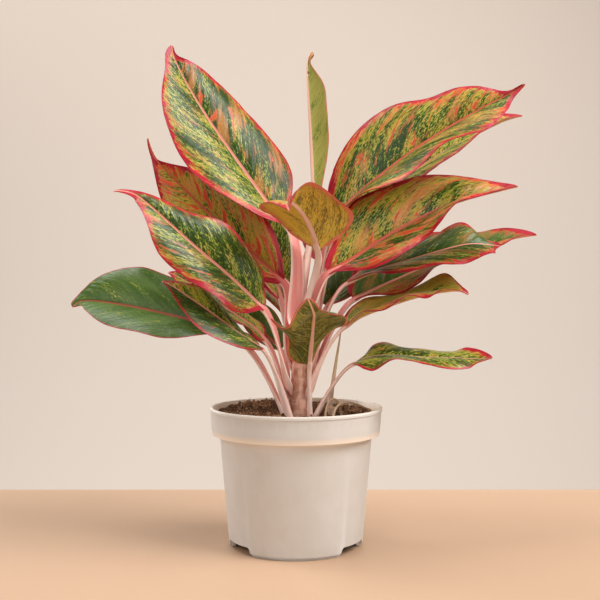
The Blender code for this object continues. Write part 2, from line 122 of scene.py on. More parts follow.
# One row for each leaf, with the values that its solid has: rib, face, twist, width, fold, belly, taper, wave
# and foot. tones: how red, how yellow and how dark its left and its right half are, from 0 to 1. These values
# are partly the leaf's own colouring and partly painted shade: a half that turns from the light gets darker
# values, with more olive and bronze.
Leaf = namedtuple("Leaf", "name rib face twist width fold belly taper wave foot colour tones")
LEAVES = (
    Leaf("upper_left", ((-4, -3, 240), (-62, 19, 314), (-97, 23, 381)),
         (-66, 23), 0, 84, (8, -2), 0.45, 1.60, (2.0, 2.0, 0.1), ("cane", 236, 142), "streaked",
         ((0.52, 0.5, 0.6), (0.6, 0.66, 0.76))),
    Leaf("bronze_left", ((-9, 14, 198), (-68, 40, 251), (-122, 52, 313)),
         (-98, 14), -10, 58, (17, 20), 0.41, 1.55, (1.5, 2.0, 0.55), ("cane", 160, 134), "bronze",
         ((0.97, 0.6, 0.42), (1.0, 0.5, 0.4))),
    Leaf("left_front", ((-22, -22, 178), (-67, -43, 219), (-122, -51, 264)),
         (-105, 40), -18, 56, (12, -2), 0.41, 1.55, (2.0, 2.0, 0.0), ("cane", 208, 113), "streaked",
         ((0.52, 0.5, 0.7), (0.36, 0.46, 0.72))),
    Leaf("lower_left", ((-25, -14, 150), (-58, -37, 173), (-94, -41, 200)),
         (-102, 56), -6, 43, (3, 3), 0.42, 1.45, (1.5, 2.0, 0.3), ("soil", -3, -11), "green",
         ((0.25, 0.35, 0.8), (0.32, 0.35, 0.56))),
    Leaf("far_left", ((-40, 6, 152), (-119, 22, 178), (-176, 21, 181)),
         (-89, 37), -18, 63, (20, 8), 0.50, 1.50, (1.0, 2.0, 0.7), ("soil", -5, 0), "dark",
         ((0.1, 0.25, 0.9), (0.1, 0.2, 0.92))),
    Leaf("inner_left", ((-22, 4, 154), (-59, 9, 183), (-98, 13, 207)),
         (-91, 60), -5, 38, (12, 4), 0.42, 1.45, (1.5, 2.0, 0.2), ("cane", 184, 106), "green",
         ((0.35, 0.5, 0.6), (0.35, 0.5, 0.55))),
    Leaf("low_back_left", ((-11, 16, 146), (-50, 40, 176), (-90, 62, 196)),
         (-80, 55), 0, 44, (12, 12), 0.42, 1.45, (2.0, 2.0, 0.5), ("cane", 145, 108), "dark",
         ((0.15, 0.15, 0.92), (0.15, 0.15, 0.92))),
    Leaf("back_left", ((-11, 27, 184), (-26, 58, 250), (-36, 84, 308)),
         (-75, 10), 0, 50, (14, 14), 0.42, 1.50, (2.0, 2.0, 0.9), ("cane", 118, 126), "green",
         ((0.4, 0.6, 0.5), (0.4, 0.6, 0.5))),
    Leaf("spire", ((15, 2, 256), (10, 4, 318), (11, 3, 377)),
         (0, 5), 5, 33, (64, 68), 0.50, 1.10, (0.5, 1.5, 0.0), ("top", 0, 0), "young",
         ((0.1, 0.6, 0.36), (0.1, 0.6, 0.36))),
    Leaf("centre", ((17, -16, 222), (0, -56, 250), (-6, -104, 245)),
         (91, 79), 42, 63, (32, 8), 0.31, 1.45, (1.0, 1.5, 0.4), ("cane", 268, 156), "young",
         ((0.45, 0.7, 0.55), (0.55, 0.9, 0.3))),
    Leaf("upper_right", ((31, 5, 250), (92, 5, 301), (180, 15, 348)),
         (-109, 39), 30, 76, (28, 26), 0.42, 1.35, (2.0, 2.5, 0.0), ("cane", 345, 152), "streaked",
         ((0.7, 0.72, 0.58), (0.56, 0.5, 0.69))),
    Leaf("upper_right_back", ((38, 26, 242), (110, 48, 296), (182, 60, 335)),
         (-110, 55), -14, 60, (20, 22), 0.42, 1.45, (2.0, 2.5, 0.35), ("cane", 35, 144), "green",
         ((0.45, 0.6, 0.5), (0.45, 0.6, 0.5))),
    Leaf("right_front", ((22, -19, 204), (95, -14, 247), (157, -45, 267)),
         (-72, 47), -16, 72, (18, 23), 0.44, 1.60, (2.0, 2.0, 0.6), ("cane", 300, 140), "streaked",
         ((0.68, 0.66, 0.5), (0.98, 0.34, 0.74))),
    Leaf("right_tent", ((37, -2, 198), (105, -9, 221), (154, 0, 226)),
         (-90, 62), 30, 53, (5, 6), 0.46, 1.45, (3.0, 2.5, 0.0), ("cane", 335, 126), "dark",
         ((0.5, 0.45, 0.84), (0.55, 0.45, 0.76))),
    Leaf("right_long", ((43, 10, 185), (106, 35, 211), (191, 33, 238)),
         (-88, 62), -15, 64, (22, 22), 0.42, 1.30, (2.5, 2.5, 0.0), ("cane", 18, 119), "bronze",
         ((0.55, 0.45, 0.9), (0.9, 0.5, 0.35))),
    Leaf("right_low", ((35, -10, 165), (86, -8, 184), (127, -25, 191)),
         (-80, 86), 18, 50, (16, 4), 0.43, 1.30, (3.0, 2.5, 0.0), ("cane", 318, 110), "green",
         ((0.42, 0.7, 0.28), (0.55, 0.6, 0.25))),
    Leaf("front", ((10, -21, 137), (11, -54, 165), (9, -100, 186)),
         (90, 66), 0, 56, (-6, -6), 0.60, 1.80, (2.0, 1.5, 0.2), ("soil", 11, -11), "young",
         ((0.2, 0.15, 0.72), (0.25, 0.2, 0.74))),
    Leaf("lower_right", ((42, -11, 138), (84, -17, 144), (147, -21, 140)),
         (-92, 78), 8, 45, (6, 2), 0.47, 1.20, (3.5, 2.5, 0.0), ("soil", 10.5, -4), "green",
         ((0.45, 0.5, 0.56), (0.3, 0.42, 0.6))),
    Leaf("low_back_right", ((24, 30, 180), (52, 66, 202), (92, 104, 212)),
         (-110, 70), 0, 52, (10, 10), 0.42, 1.45, (2.0, 2.0, 0.45), ("cane", 60, 110), "green",
         ((0.3, 0.3, 0.8), (0.3, 0.3, 0.8))),
    Leaf("rear_left", ((-4, 28, 166), (-30, 78, 196), (-66, 122, 206)),
         (-70, 68), 0, 56, (12, 12), 0.42, 1.45, (2.0, 2.0, 0.8), ("cane", 100, 106), "green",
         ((0.3, 0.45, 0.6), (0.3, 0.4, 0.65))),
    Leaf("rear_right", ((18, 24, 214), (40, 66, 252), (66, 112, 272)),
         (-100, 50), 0, 58, (12, 12), 0.42, 1.45, (2.0, 2.0, 0.15), ("cane", 80, 136), "streaked",
         ((0.5, 0.5, 0.55), (0.5, 0.55, 0.6))),
)


# Finer form of each blade, millimetres: where its midrib wanders (sideways, up), where its tip hooks to,
# how far each margin stands out of the plain outline and how far it lifts. The values stand at even shares
# of the blade's length.
Edge = namedtuple("Edge", "rib hook out_left out_right lift_left lift_right")
LEVEL = (0,)
PLAIN_EDGE = Edge(((0, 0),), (0, 0, 0), LEVEL, LEVEL, LEVEL, LEVEL)
SLENDER_FOOT = (-11, -17, -16, -9, -3, 0, 0, 0, 0, 0)
RAISED_MARGIN = (0, -4, -10, -15, -16, -13, -8, -3, 0, 0)
EDGES = {
    "upper_left": Edge(
        ((-1.3, -1.4), (1.8, -0.1), (1.1, 0.4), (-0.8, 1.7), (-3.2, 4.2)), (2.1, 1.7, -0.4),
        (-5.3, -3.1, 0.6, 1.1, 0.5, -0.9, -0.2, -1.8, -8.4, -3.8),
        (-6.4, 2.2, 3.7, -1.9, -4.8, -5.8, -3.2, -4.3, -6.2, -15),
        (2.6, 1.8, -0.7, -0.7, -0.2, 0.6, 0.3, 0.3, 2.6, 0.8),
        (-0.2, 2, 1.4, -1.7, -2.9, -3.5, -1.6, -1.5, 1.1, 0.7),
    ),
    "bronze_left": Edge(
        ((0.6, 1.2), (1.2, 1.1), (0.8, 0.1), (0.2, -1.2), (-1.8, -4)), (3, -0.2, 3.5),
        (-2.4, -0.3, 0.2, 0.1, 0.2, 0.5, 0.9, -0.6, -5, -6.3),
        (-5.4, -0.1, 1.3, 0.7, 0.3, 0, -1.2, -4, -8.2, -10.8),
        (0.2, 0, 0, 0, 0, 0.1, 0.1, -0.1, -0.7, -0.8),
        (0.2, 0, -0.1, 0, 0, -0.1, -0.2, -0.1, 0.6, 1.2),
    ),
    "left_front": Edge(
        ((-0.1, -0.9), (0.8, 0.1), (-0.3, 0), (-0.9, 2.4), (-2.1, 5.9)), (-3.8, -7.7, -5.7),
        (-6.9, 1.7, 2, -2.8, -0.8, 0.1, 3.1, -2.9, -7.2, -2),
        (2.4, 3.8, 3, 3.3, 3.3, 1.2, -5, -5, -4.9, -5.1),
        (-0.2, -2.3, -0.9, 2.4, 0.8, 0.3, -1.1, 0, 1.7, 2),
        (1.8, 2.9, 2, 1.7, 1.5, 0.7, -1.6, -1.6, -1.6, -1.3),
    ),
    "lower_left": Edge(
        ((-2, 0.6), (-0.8, 0.4), (0.8, 0.4), (1.3, 0.2), (0.9, -1.1)), (-1.9, -0.2, -0.8),
        (0.9, 1.5, 1.5, 0.8, 1.7, 3, 2.5, -0.4, -2, -1.7),
        (-1.2, -3.7, -2.7, -2.3, -1.5, -0.6, -0.3, -0.6, -1.1, -0.9),
        (-0.5, -1.6, -1.8, -0.7, -1.5, -3, -2.6, 0, 1.3, 1),
        (2.6, -1.4, -0.5, -3, -2.6, -0.9, -0.2, -0.4, -0.8, -0.6),
    ),
    "far_left": Edge(
        ((0.1, 3.4), (0.1, 0.2), (0.1, -0.8), (0, -0.1), (0.1, 2.1)), (2.9, -2.2, -3),
        (-3.5, -1.9, 2.2, 3.3, -0.5, -1.5, -1.9, -2.4, -4.4, -8.0),
        (-0.2, 0.5, 1.7, 2.5, 1.6, 4, 2.3, 0.2, -2.6, -10.5),
        (3.6, 2.7, -1.7, -2.9, 0.1, 0.8, 0.9, 0.8, 1, 1),
        (-0.1, 0.2, 0.8, 1.3, 0.7, 2, 0.9, 0.3, 0.3, -1.8),
    ),
    "inner_left": Edge(
        ((0.9, 1.7), (-0.3, -0.2), (-0.6, -0.5), (-0.4, -0.5), (-0.2, -0.3)), (-0.1, 0, -1),
        (3.1, -2.2, -2, -4.7, -3.4, -1, 0, 0.1, 0.1, 0),
        (-4.5, -2.5, -4.6, -2.3, -0.5, 0.1, 0.1, 0, 0, 0),
        (1.9, 3.7, 1.4, 5.2, 3.7, 1, 0, -0.1, -0.1, 0),
        (2, -0.2, -4.2, -2, -0.4, 0.1, 0.1, 0, 0, 0),
    ),
    "spire": Edge(
        ((-0.3, 1), (1.1, 0.8), (1.1, 0.2), (0, -0.8), (-2.2, -2.4)), (2.7, 1.2, -3.5),
        (-1.3, -1.2, -1.5, -1.1, -0.9, -0.8, -0.4, -0.1, -3.3, -6.8),
        (-2.6, -3.1, -2.6, -2.1, -2.1, -2.4, -2.2, -1.9, -3.4, -6.1),
        (-0.8, -0.8, -1.1, -0.8, -0.7, -0.7, -0.4, 0.2, -1.9, -3.9),
        (-1.8, -2.2, -1.9, -1.5, -1.6, -1.9, -1.8, -1.1, -1.6, -3.3),
    ),
    "centre": Edge(
        ((1.7, -1.8), (3.6, -1.4), (2.1, -1.2), (0.6, -0.3), (-0.1, 0.6)), (2, -0.3, -1.4),
        (-5.4, 3, 1.5, -2.7, -3.5, -3.2, -1.8, -0.1, 0.5, 0.4),
        (-0.2, -1.4, -0.9, 0.8, 1.6, 1.1, 0.4, -0.2, -0.4, 0.1),
        (1.8, 0.9, -1, -2.6, -2.2, -1.7, -0.7, 0.5, 0, -0.5),
        (-0.2, 1.7, 1.1, -1.8, -2, -0.6, 1, 2, 1.7, 0.3),
    ),
    "upper_right": Edge(
        ((3.7, 2.1), (3.2, -0.3), (1, -0.3), (-0.9, -0.8), (-2.7, 1)), (-5, -10.5, -0.6),
        (5.5, 1.7, 1.6, 3.8, 3.6, 0.3, -5.1, -0.3, -1.9, -14.7),
        (-0.3, -0.7, 1.4, 2.2, -0.9, -4.6, -2, 5.2, 1.8, -2.7),
        (2, 0.2, 0.7, 2.3, 2.3, 0.2, -4, -0.1, 1, -3),
        (1.7, 6.5, -0.1, -5.7, 0.3, 8.5, 5.2, -7.8, -3.9, 1.7),
    ),
    "upper_right_back": Edge(
        ((0.4, -0.1), (-0.1, 0.8), (-0.3, 1.2), (-0.6, 1.1), (-0.9, 0.9)), (2.6, -0.4, -1.4),
        LEVEL,
        (0, 0.3, 0.6, -0.1, -1.6, 0.2, 0.9, -0.1, -0.5, -0.4),
        LEVEL,
        (0, -0.5, -1, 0.7, 4.4, -0.6, -1.9, 1.8, 3.3, 2.4),
    ),
    "right_front": Edge(
        ((1.8, -1.7), (0, -0.6), (-0.4, -0.3), (-0.7, 0.4), (-1.3, -2.4)), (1.2, -0.4, -0.1),
        (0, 0.5, 5.7, 1.1, -2.2, -0.5, -0.7, -1.2, -2.1, -2.2),
        (-8.7, -0.3, -0.6, -1.4, -1.3, -0.5, 0.5, 0.6, 0.2, 0),
        (-2.6, 0.3, 3, -0.1, -1.5, -0.1, -0.5, -1, -1.8, -1.7),
        (0.8, -2.1, 0.2, 1.4, 1.1, -0.8, -2.2, -0.7, -2.1, -1),
    ),
    "right_tent": Edge(
        ((1.3, 1.3), (3.4, -0.3), (4.4, 0.7), (3.6, 2.1), (0.8, -1.3)), (-1, -4.4, -0.1),
        (0, 0.1, 0.2, 0.2, -0.7, -3.4, -0.9, 2.4, -1.2, -4),
        (-0.7, -0.9, 0.2, 1.6, 0.5, 0, -0.1, 1.1, 0.5, -0.6),
        (0, 0, 0.2, 0.3, -0.2, -2.7, 1.3, 6.2, -1, -5.5),
        (2, 3.3, 0.8, -3.6, -1.4, -0.3, 0.4, -1, -0.5, 0.3),
    ),
    "right_long": Edge(
        ((0.5, -0.9), (1.5, -0.1), (0.5, 0.9), (-0.4, 0.2), (-2.3, 0.4)), (-0.1, 0.2, -2.6),
        (0, 0, 0, 0.1, 0.2, -0.1, -1.5, -1, 0, -2.4),
        (-12.2, -4.5, -0.1, 3.1, 0, -1.3, -0.5, 0.4, 0.8, 0.2),
        (0, 0, 0, 0.1, 0.2, -0.1, -1.8, -0.9, 1.4, 1.2),
        (3.6, -0.6, 0, -1.3, 5.2, 4.5, -0.4, -5.3, -4.8, 4.9),
    ),
    "right_low": Edge(
        ((-0.8, 2.8), (2.1, 3.1), (3.4, 3.5), (2.2, 2.6), (0, 1.6)), (-0.2, 2.9, -3.1),
        (3.1, 1.5, 0.3, 0.1, 0, -0.5, 1.6, 3.3, -2.4, -3.7),
        (0.2, 0.4, 0.3, 0.1, 0, -0.2, -0.4, -0.9, -1.2, -1.5),
        (3.2, 1.4, 0, 0.3, -0.1, -3.3, 0.5, 9.3, 0.9, -2.9),
        (1.5, 2.4, -0.9, -3.8, -0.3, 2, -0.8, -3.3, -0.2, 3.6),
    ),
    "front": Edge(
        ((-0.2, 0.5), (0.8, 4.6), (1.2, 5), (2.2, 1.2), (2.7, -5.6)), (-1.9, -0.4, 3.6),
        (-0.2, -6.2, -7.4, -6.6, -4.5, -4.9, -4.8, -2.7, -4, -11.1),
        (8, 7, 0.7, -5.2, -2.3, 1.7, 2.3, -0.2, -2.3, -0.2),
        (0.1, 2.1, 4.2, 5.5, 2.3, 0.9, 0.8, -0.2, -2.4, -3.8),
        (-3.8, -3.5, -0.2, 2.3, 1.3, 3.1, 4.2, -0.6, -5.7, -4.6),
    ),
    "lower_right": Edge(
        ((-1.1, 0.5), (0.7, 1.6), (0.8, -1.3), (-0.7, -1.6), (-3.3, 0.4)), (-2.4, -5.9, 2.6),
        (-6.3, -2.7, 0.3, 2.4, 0.1, -2.5, -2.6, -0.3, 2, 1.2),
        (2.4, 1.8, 1, 0.6, -0.1, -1.6, -0.6, 3.1, 2.8, -0.5),
        (-4.6, -3, 0.1, 4.9, 0.3, -4.9, -5.2, -0.8, 3.8, 3.4),
        (-3.9, -3.2, -2.3, -2.3, -0.4, 5, 3, -7.3, -6.6, 1.9),
    ),
    "low_back_left": PLAIN_EDGE._replace(out_left=RAISED_MARGIN),
    "rear_left": PLAIN_EDGE._replace(out_left=SLENDER_FOOT, out_right=SLENDER_FOOT),
}


# Small maths


def mix(a, b, t):
    return a + (b - a) * t


def clamp(t):
    return min(1.0, max(0.0, t))


def smoothstep(t):
    t = clamp(t)
    return t * t * (3.0 - 2.0 * t)


def band(t, low, high):
    """0 below low, 1 above high, smooth between."""
    return smoothstep((t - low) / (high - low))


def bell(t, width):
    return math.exp(-((t / width) ** 2))


def polar(radius, degrees, height):
    angle = math.radians(degrees)
    return Vector((radius * math.cos(angle), radius * math.sin(angle), height))


def direction(azimuth, elevation):
    return polar(math.cos(math.radians(elevation)), azimuth, math.sin(math.radians(elevation)))


def spread(values, u):
    """A smooth run through a row of values: u goes from 0 to 1 along it."""
    place = u * len(values) - 0.5
    total = 0.0
    for index, value in enumerate(values):
        away = abs(place - index)
        if away < 1.0:
            total += value * (2.0 / 3.0 - away * away + 0.5 * away**3)
        elif away < 2.0:
            total += value * (2.0 - away) ** 3 / 6.0
    return total


# Shader nodes


class Wire:
    """The number on a link. Arithmetic on it adds Math nodes."""

    def __init__(self, graph, socket):
        self.graph = graph
        self.socket = socket

    def math(self, operation, *values):
        return self.graph.node("ShaderNodeMath", {"operation": operation}, dict(enumerate(values)))

    def __add__(self, other):
        return self.math("ADD", self, other)

    __radd__ = __add__

    def __sub__(self, other):
        return self.math("SUBTRACT", self, other)

    def __rsub__(self, other):
        return self.math("SUBTRACT", other, self)

    def __mul__(self, other):
        return self.math("MULTIPLY", self, other)

    __rmul__ = __mul__

    def __truediv__(self, other):
        return self.math("DIVIDE", self, other)

    def __neg__(self):
        return self.math("MULTIPLY", self, -1.0)

    def __abs__(self):
        return self.math("ABSOLUTE", self)

    def least(self, other):
        return self.math("MINIMUM", self, other)

    def power(self, other):
        return self.math("POWER", self, other)

    def sign(self):
        return self.math("SIGN", self)

    def fract(self):
        return self.math("FRACT", self)

    def cosine(self):
        return self.math("COSINE", self)

    def step(self, low, high):
        """0 below low, 1 above high, smooth between."""
        return self.graph.node(
            "ShaderNodeMapRange", {"interpolation_type": "SMOOTHSTEP"}, {0: self, 1: low, 2: high}
        )

    def fade(self, low, high):
        """1 below low, 0 above high, smooth between."""
        return 1.0 - self.step(low, high)

    def swing(self, size):
        """A number that lies about a half, moved to lie about 0 and spread to a size."""
        return (self - 0.5) * size


class Graph:
    """The nodes of one material."""

    def __init__(self, name):
        self.material = bpy.data.materials.new(name)
        self.material.use_nodes = True
        self.tree = self.material.node_tree
        self.shader = self.tree.nodes["Principled BSDF"]

    def node(self, kind, settings=None, values=None, output=0):
        """Adds a node: its settings first, then the values or links of its sockets."""
        node = self.tree.nodes.new(kind)
        for key, value in (settings or {}).items():
            setattr(node, key, value)
        for key, value in (values or {}).items():
            self.put(node.inputs[key], value)
        return Wire(self, node.outputs[output])

    def put(self, socket, value):
        if isinstance(value, Wire):
            self.tree.links.new(value.socket, socket)
        elif socket.type == "RGBA":
            socket.default_value = (*value[:3], 1.0)
        else:
            socket.default_value = value

    def attribute(self, name):
        """The three numbers of a vertex attribute."""
        vector = self.node("ShaderNodeAttribute", {"attribute_name": name}, output=1)
        return self.split(vector)

    def position(self):
        """Object coordinates in millimetres."""
        vector = self.node("ShaderNodeTexCoord", output=3)
        scaled = self.node("ShaderNodeVectorMath", {"operation": "SCALE"}, {0: vector, 3: 1.0 / MM})
        return self.split(scaled)

    def split(self, vector):
        node = self.tree.nodes.new("ShaderNodeSeparateXYZ")
        self.tree.links.new(vector.socket, node.inputs[0])
        return [Wire(self, socket) for socket in node.outputs]

    def combine(self, x, y, z):
        return self.node("ShaderNodeCombineXYZ", None, {0: x, 1: y, 2: z})

    def noise(self, place, detail=2.0, roughness=0.5):
        """Noise at a place given as three numbers, from about 0.25 to 0.75."""
        values = {"Vector": self.combine(*place), "Scale": 1.0, "Detail": detail, "Roughness": roughness}
        return self.node("ShaderNodeTexNoise", {"noise_dimensions": "3D"}, values)

    def blend(self, factor, first, second):
        """A colour from first to second."""
        return self.node("ShaderNodeMix", {"data_type": "RGBA"}, {0: factor, 6: first, 7: second}, output=2)

    def coats(self, colour, *coats):
        """Lays coats over a colour, each given as its share and its colour."""
        for share, coat in coats:
            colour = self.blend(share, colour, coat)
        return colour

    def bump(self, height, distance):
        """A normal from a height in shares of distance, which is in metres."""
        return self.node("ShaderNodeBump", None, {"Height": height, "Distance": distance, "Strength": 1.0})

    def finish(self, colour, roughness, normal=None, **constants):
        self.put(self.shader.inputs["Base Color"], colour)
        self.put(self.shader.inputs["Roughness"], roughness)
        if normal is not None:
            self.put(self.shader.inputs["Normal"], normal)
        for name, value in constants.items():
            self.put(self.shader.inputs[name.replace("_", " ")], value)
        return self.material


# Meshes


def make_object(name, bm, materials=()):
    """Makes a mesh an object of the scene."""
    mesh = bpy.data.meshes.new(name)
    bm.to_mesh(mesh)
    bm.free()
    for material in materials:
        mesh.materials.append(material)
    made = bpy.data.objects.new(name, mesh)
    bpy.context.scene.collection.objects.link(made)
    return made


def finish_object(name, bm, materials, nodes, sharp=40.0):
    """Makes a mesh an object that rides on the frame and stands for the named solids."""
    made = make_object(name, bm, materials)
    made.data.shade_smooth()
    made.data.set_sharp_from_angle(angle=math.radians(sharp))
    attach(made, "root")
    if nodes:
        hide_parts(*nodes)
    return made


def grid_spots(bm, along, across):
    """The vertices of a new grid, each with its shares of the way along and across."""
    made = bmesh.ops.create_grid(bm, x_segments=along, y_segments=across, size=0.5)
    return [(vert, vert.co.x + 0.5, vert.co.y + 0.5) for vert in made["verts"]]


def fill_ends(bm):
    bmesh.ops.holes_fill(bm, edges=[edge for edge in bm.edges if edge.is_boundary], sides=0)
    bmesh.ops.recalc_face_normals(bm, faces=bm.faces)


def close_tube(bm):
    """Joins a grid's two long edges and fills its ends."""
    bmesh.ops.remove_doubles(bm, verts=bm.verts, dist=1e-6)
    fill_ends(bm)


# Leaves


@lru_cache(maxsize=None)
def rib_point(leaf, u):
    base, middle, tip = (Vector(point) for point in leaf.rib)
    point = base * ((1 - 2 * u) * (1 - u)) + middle * (4 * u * (1 - u)) + tip * (u * (2 * u - 1))
    edge = EDGES.get(leaf.name, PLAIN_EDGE)
    sideways = spread([pair[0] for pair in edge.rib], u)
    up = spread([pair[1] for pair in edge.rib], u)
    hook = max(0.0, (u - HOOK_START) / (1.0 - HOOK_START)) ** 2
    return point + Vector((sideways, 0.0, up)) * band(u, 0.0, RIB_SETTLES) + Vector(edge.hook) * hook


@lru_cache(maxsize=None)
def rib_frame(leaf, u):
    """Unit vectors along the midrib, to its right side and out of its upper face."""
    along = (rib_point(leaf, u + NUDGE) - rib_point(leaf, u - NUDGE)).normalized()
    face = direction(*leaf.face)
    upper = (face - along * face.dot(along)).normalized()
    right = along.cross(upper)
    turn = math.radians(leaf.twist) * (u - 0.5)
    turned = upper * math.cos(turn) + right * math.sin(turn)
    return along, along.cross(turned), turned


def half_width(leaf, u, side):
    """Half the blade's width on one side of the midrib."""
    a = leaf.belly * leaf.taper
    b = (1.0 - leaf.belly) * leaf.taper
    peak = leaf.belly**a * (1.0 - leaf.belly) ** b
    drip = mix(*DRIP_HALF_WIDTHS, band(u, DRIP_FADE, 1.0))
    plain = max(drip, 0.5 * leaf.width * u**a * max(0.0, 1.0 - u) ** b / peak)
    edge = EDGES.get(leaf.name, PLAIN_EDGE)
    out = spread(edge.out_right if side > 0 else edge.out_left, u)
    closing = 1.0 - clamp((u - CLOSE_START) / (1.0 - CLOSE_START)) ** CLOSE_POWER
    return max(LEAST_HALF_WIDTH, plain + out * band(u, 0.0, OUTLINE_SETTLES) * closing)


def rib_lengths(leaf, steps=60):
    """Length of the midrib up to each of a row of even shares."""
    points = [rib_point(leaf, step / steps) for step in range(steps + 1)]
    lengths = [0.0]
    for one, two in zip(points, points[1:]):
        lengths.append(lengths[-1] + (two - one).length)
    return lengths


def length_at(lengths, u):
    place = clamp(u) * (len(lengths) - 1)
    low = min(int(place), len(lengths) - 2)
    return mix(lengths[low], lengths[low + 1], place - low)


def rib_half(u):
    """Half the width of the midrib, from the blade's base to its tip."""
    return mix(RIB_HALF, RIB_TIP_HALF, u)


def calmed(u, pace):
    """1 along most of the blade, falling to 0 at its base and its tip."""
    return min(1.0, pace * u, pace * (1.0 - u))


def blade_relief(seed, u, across, half, along, vein):
    """How far the fine surface stands out of the smooth blade: groove, pleats between veins, and ruffle."""
    look = bpy.context.scene.evergreen_leaf
    share = abs(across) / half
    calm = calmed(u, WAVE_CALM)
    groove = RIB_GROOVE * bell(across, rib_half(u)) * (1.0 - RIB_GROOVE_FADE * u)
    pleat = abs(math.sin(math.pi * vein / (look.vein_spacing / MM))) ** PLEAT_ROUNDNESS - PLEAT_MIDDLE
    room = band(share, *PLEAT_START) * (1.0 - band(share, *PLEAT_END)) * band(half, *PLEAT_ROOM)
    flutter = noise.noise(Vector((along / FLUTTER_LENGTHS[0], across / FLUTTER_LENGTHS[1], seed)))
    ruffle = noise.noise(Vector((along / RUFFLE_LENGTH, math.copysign(SIDE_GAP, across), seed + SEED_GAP)))
    edge = band(share, RUFFLE_START, 1.0) * calm
    pleats = look.pleat_height / MM * pleat * room
    return pleats - groove + FLUTTER * flutter * share * calm + look.ruffle / MM * ruffle * edge


def blade_point(leaf, seed, lengths, u, v):
    """A point of the blade's upper face with its values: vein place, distance across and from the margin."""
    _, right, upper = rib_frame(leaf, u)
    side = math.copysign(1.0, v)
    fold = math.radians(leaf.fold[0] if v < 0 else leaf.fold[1])
    half = half_width(leaf, u, side)
    across = half * v
    height, count, phase = leaf.wave
    turns = count * u + phase + WAVE_LAG * side
    calm = calmed(u, WAVE_CALM)
    edge = EDGES.get(leaf.name, PLAIN_EDGE)
    raised = spread(edge.lift_right if v > 0 else edge.lift_left, u) * calmed(u, LIFT_CALM)
    wave = height * calm * math.sin(2.0 * math.pi * turns)
    arch = 4.0 * ARCH * half * abs(v) * (1.0 - abs(v)) * calm
    valley = bell(v - VALLEY_PLACE, VALLEY_HALF) * band(u, *VALLEY_START) * (1.0 - band(u, *VALLEY_END))
    arch -= VALLEYS.get(leaf.name, 0.0) * valley
    lift = abs(across) * math.sin(fold) + arch + (wave + raised) * v * v
    point = rib_point(leaf, u) + right * (across * math.cos(fold)) + upper * lift
    along = length_at(lengths, u)
    vein = along - abs(across) * (VEIN_LEAN + VEIN_CURL * abs(v))
    out = upper * math.cos(fold) - right * (side * math.sin(fold))
    point += out * blade_relief(seed, u, across, half, along, vein)
    return point, (vein, across, half - abs(across))


def make_blade(leaf, seed, materials):
    look = bpy.context.scene.evergreen_leaf
    lengths = rib_lengths(leaf)
    bm = bmesh.new()
    veins = bm.verts.layers.float_vector.new("veins")
    tone = bm.verts.layers.float_vector.new("tone")
    rib = bm.verts.layers.float_vector.new("rib")
    made = bmesh.ops.create_grid(bm, x_segments=look.steps, y_segments=look.columns, size=1.0)
    shares = []
    for vert in made["verts"]:
        share = 0.5 * (vert.co.x + 1.0)
        u = mix(BLADE_START, BLADE_END, mix(share, smoothstep(share), STEP_EASE))
        v = math.copysign(abs(vert.co.y) ** COLUMN_CROWDING, vert.co.y)
        point, values = blade_point(leaf, seed, lengths, u, v)
        vert[veins] = values
        # Each half takes its own red, yellow and dark values, which hold painted shade where the half turns
        # from the light.
        vert[tone] = leaf.tones[v > 0]
        vert[rib] = (abs(values[1]) / rib_half(u), u, seed)
        shares.append((vert, u, v))
        vert.co = point
    bm.normal_update()
    depths = []
    for vert, u, v in shares:
        _, _, upper = rib_frame(leaf, u)
        facing = math.copysign(1.0, vert.normal.dot(upper))
        keel = KEEL * (1.0 - u) ** KEEL_FADE
        keel *= bell(vert[veins][1], KEEL_HALF * mix(1.0, KEEL_TIP_SHARE, u))
        thin = 1.0 - EDGE_THINNING * band(abs(v), EDGE_START, 1.0)
        depths.append(vert.normal * facing * (look.thickness / MM * thin + keel))
    extruded = bmesh.ops.extrude_face_region(bm, geom=bm.faces[:], use_keep_orig=True)
    places = {tuple(vert.co): depth for (vert, _, _), depth in zip(shares, depths)}
    for item in extruded["geom"]:
        if isinstance(item, bmesh.types.BMFace):
            item.material_index = 1
        elif isinstance(item, bmesh.types.BMVert):
            item.co -= places[tuple(item.co)]
    bmesh.ops.scale(bm, vec=(MM, MM, MM), verts=bm.verts)
    bmesh.ops.recalc_face_normals(bm, faces=bm.faces)
    name = "leaf_" + leaf.name
    return finish_object(name, bm, materials, ["blade_" + leaf.name], sharp=60.0)


# Petioles

CLEAR = 0.35
CURVE_STEP = 0.01
SKIN_CROWDING = 2.0
KEEL_RUN = 0.09
CHANNEL_FADE = (0.70, 0.97)
CHANNEL_DEPTH = 0.85
CHANNEL_FLOOR = 0.12
CHANNEL_LIPS = (0.15, 0.72)
PETIOLE_STEPS = 44
PETIOLE_SIDES = 28
PETIOLE_NARROWING = 1.4
FOOT_FULLNESS = 1.12
TOP_FULLNESS = 0.88
RUN_SHRINK = 0.65
SKIN_ROUGHNESS = 0.05
SKIN_LENGTH = 12.0
# Shares of the usual width and depth, and how fast the inner side turns from the cane to the blade.
STALK_SHARES = {
    "front": 0.62, "centre": 1.3, "upper_left": 2.0, "upper_right": 1.5, "right_front": 1.45,
    "bronze_left": 1.5, "left_front": 1.7, "upper_right_back": 1.3, "spire": 2.0, "far_left": 1.1,
    "lower_left": 1.1, "lower_right": 1.1,
}
DEPTH_SHARES = {"spire": 2.6}
DEPTH_RUN = (0.35, 0.9)
TURN_PACES = {"upper_left": 2.4, "spire": 2.4, "bronze_left": 1.6}
SHARE_AT_FOOT = 0.55
FULLEST_PLACE = 0.4
FULLEST_RUN = 0.5
CLASP_RUN = 0.30
CLASP_SPREAD = 0.35
CLASP_SINK = 2.0
CLASP_SINK_RUN = 0.12
CLASP_POINT = 0.25
CLASP_TAPER = 0.16
CLASP_THINNING = 0.75
CLASP_THIN_RUN = 0.1
CLASP_FIT = 2.2


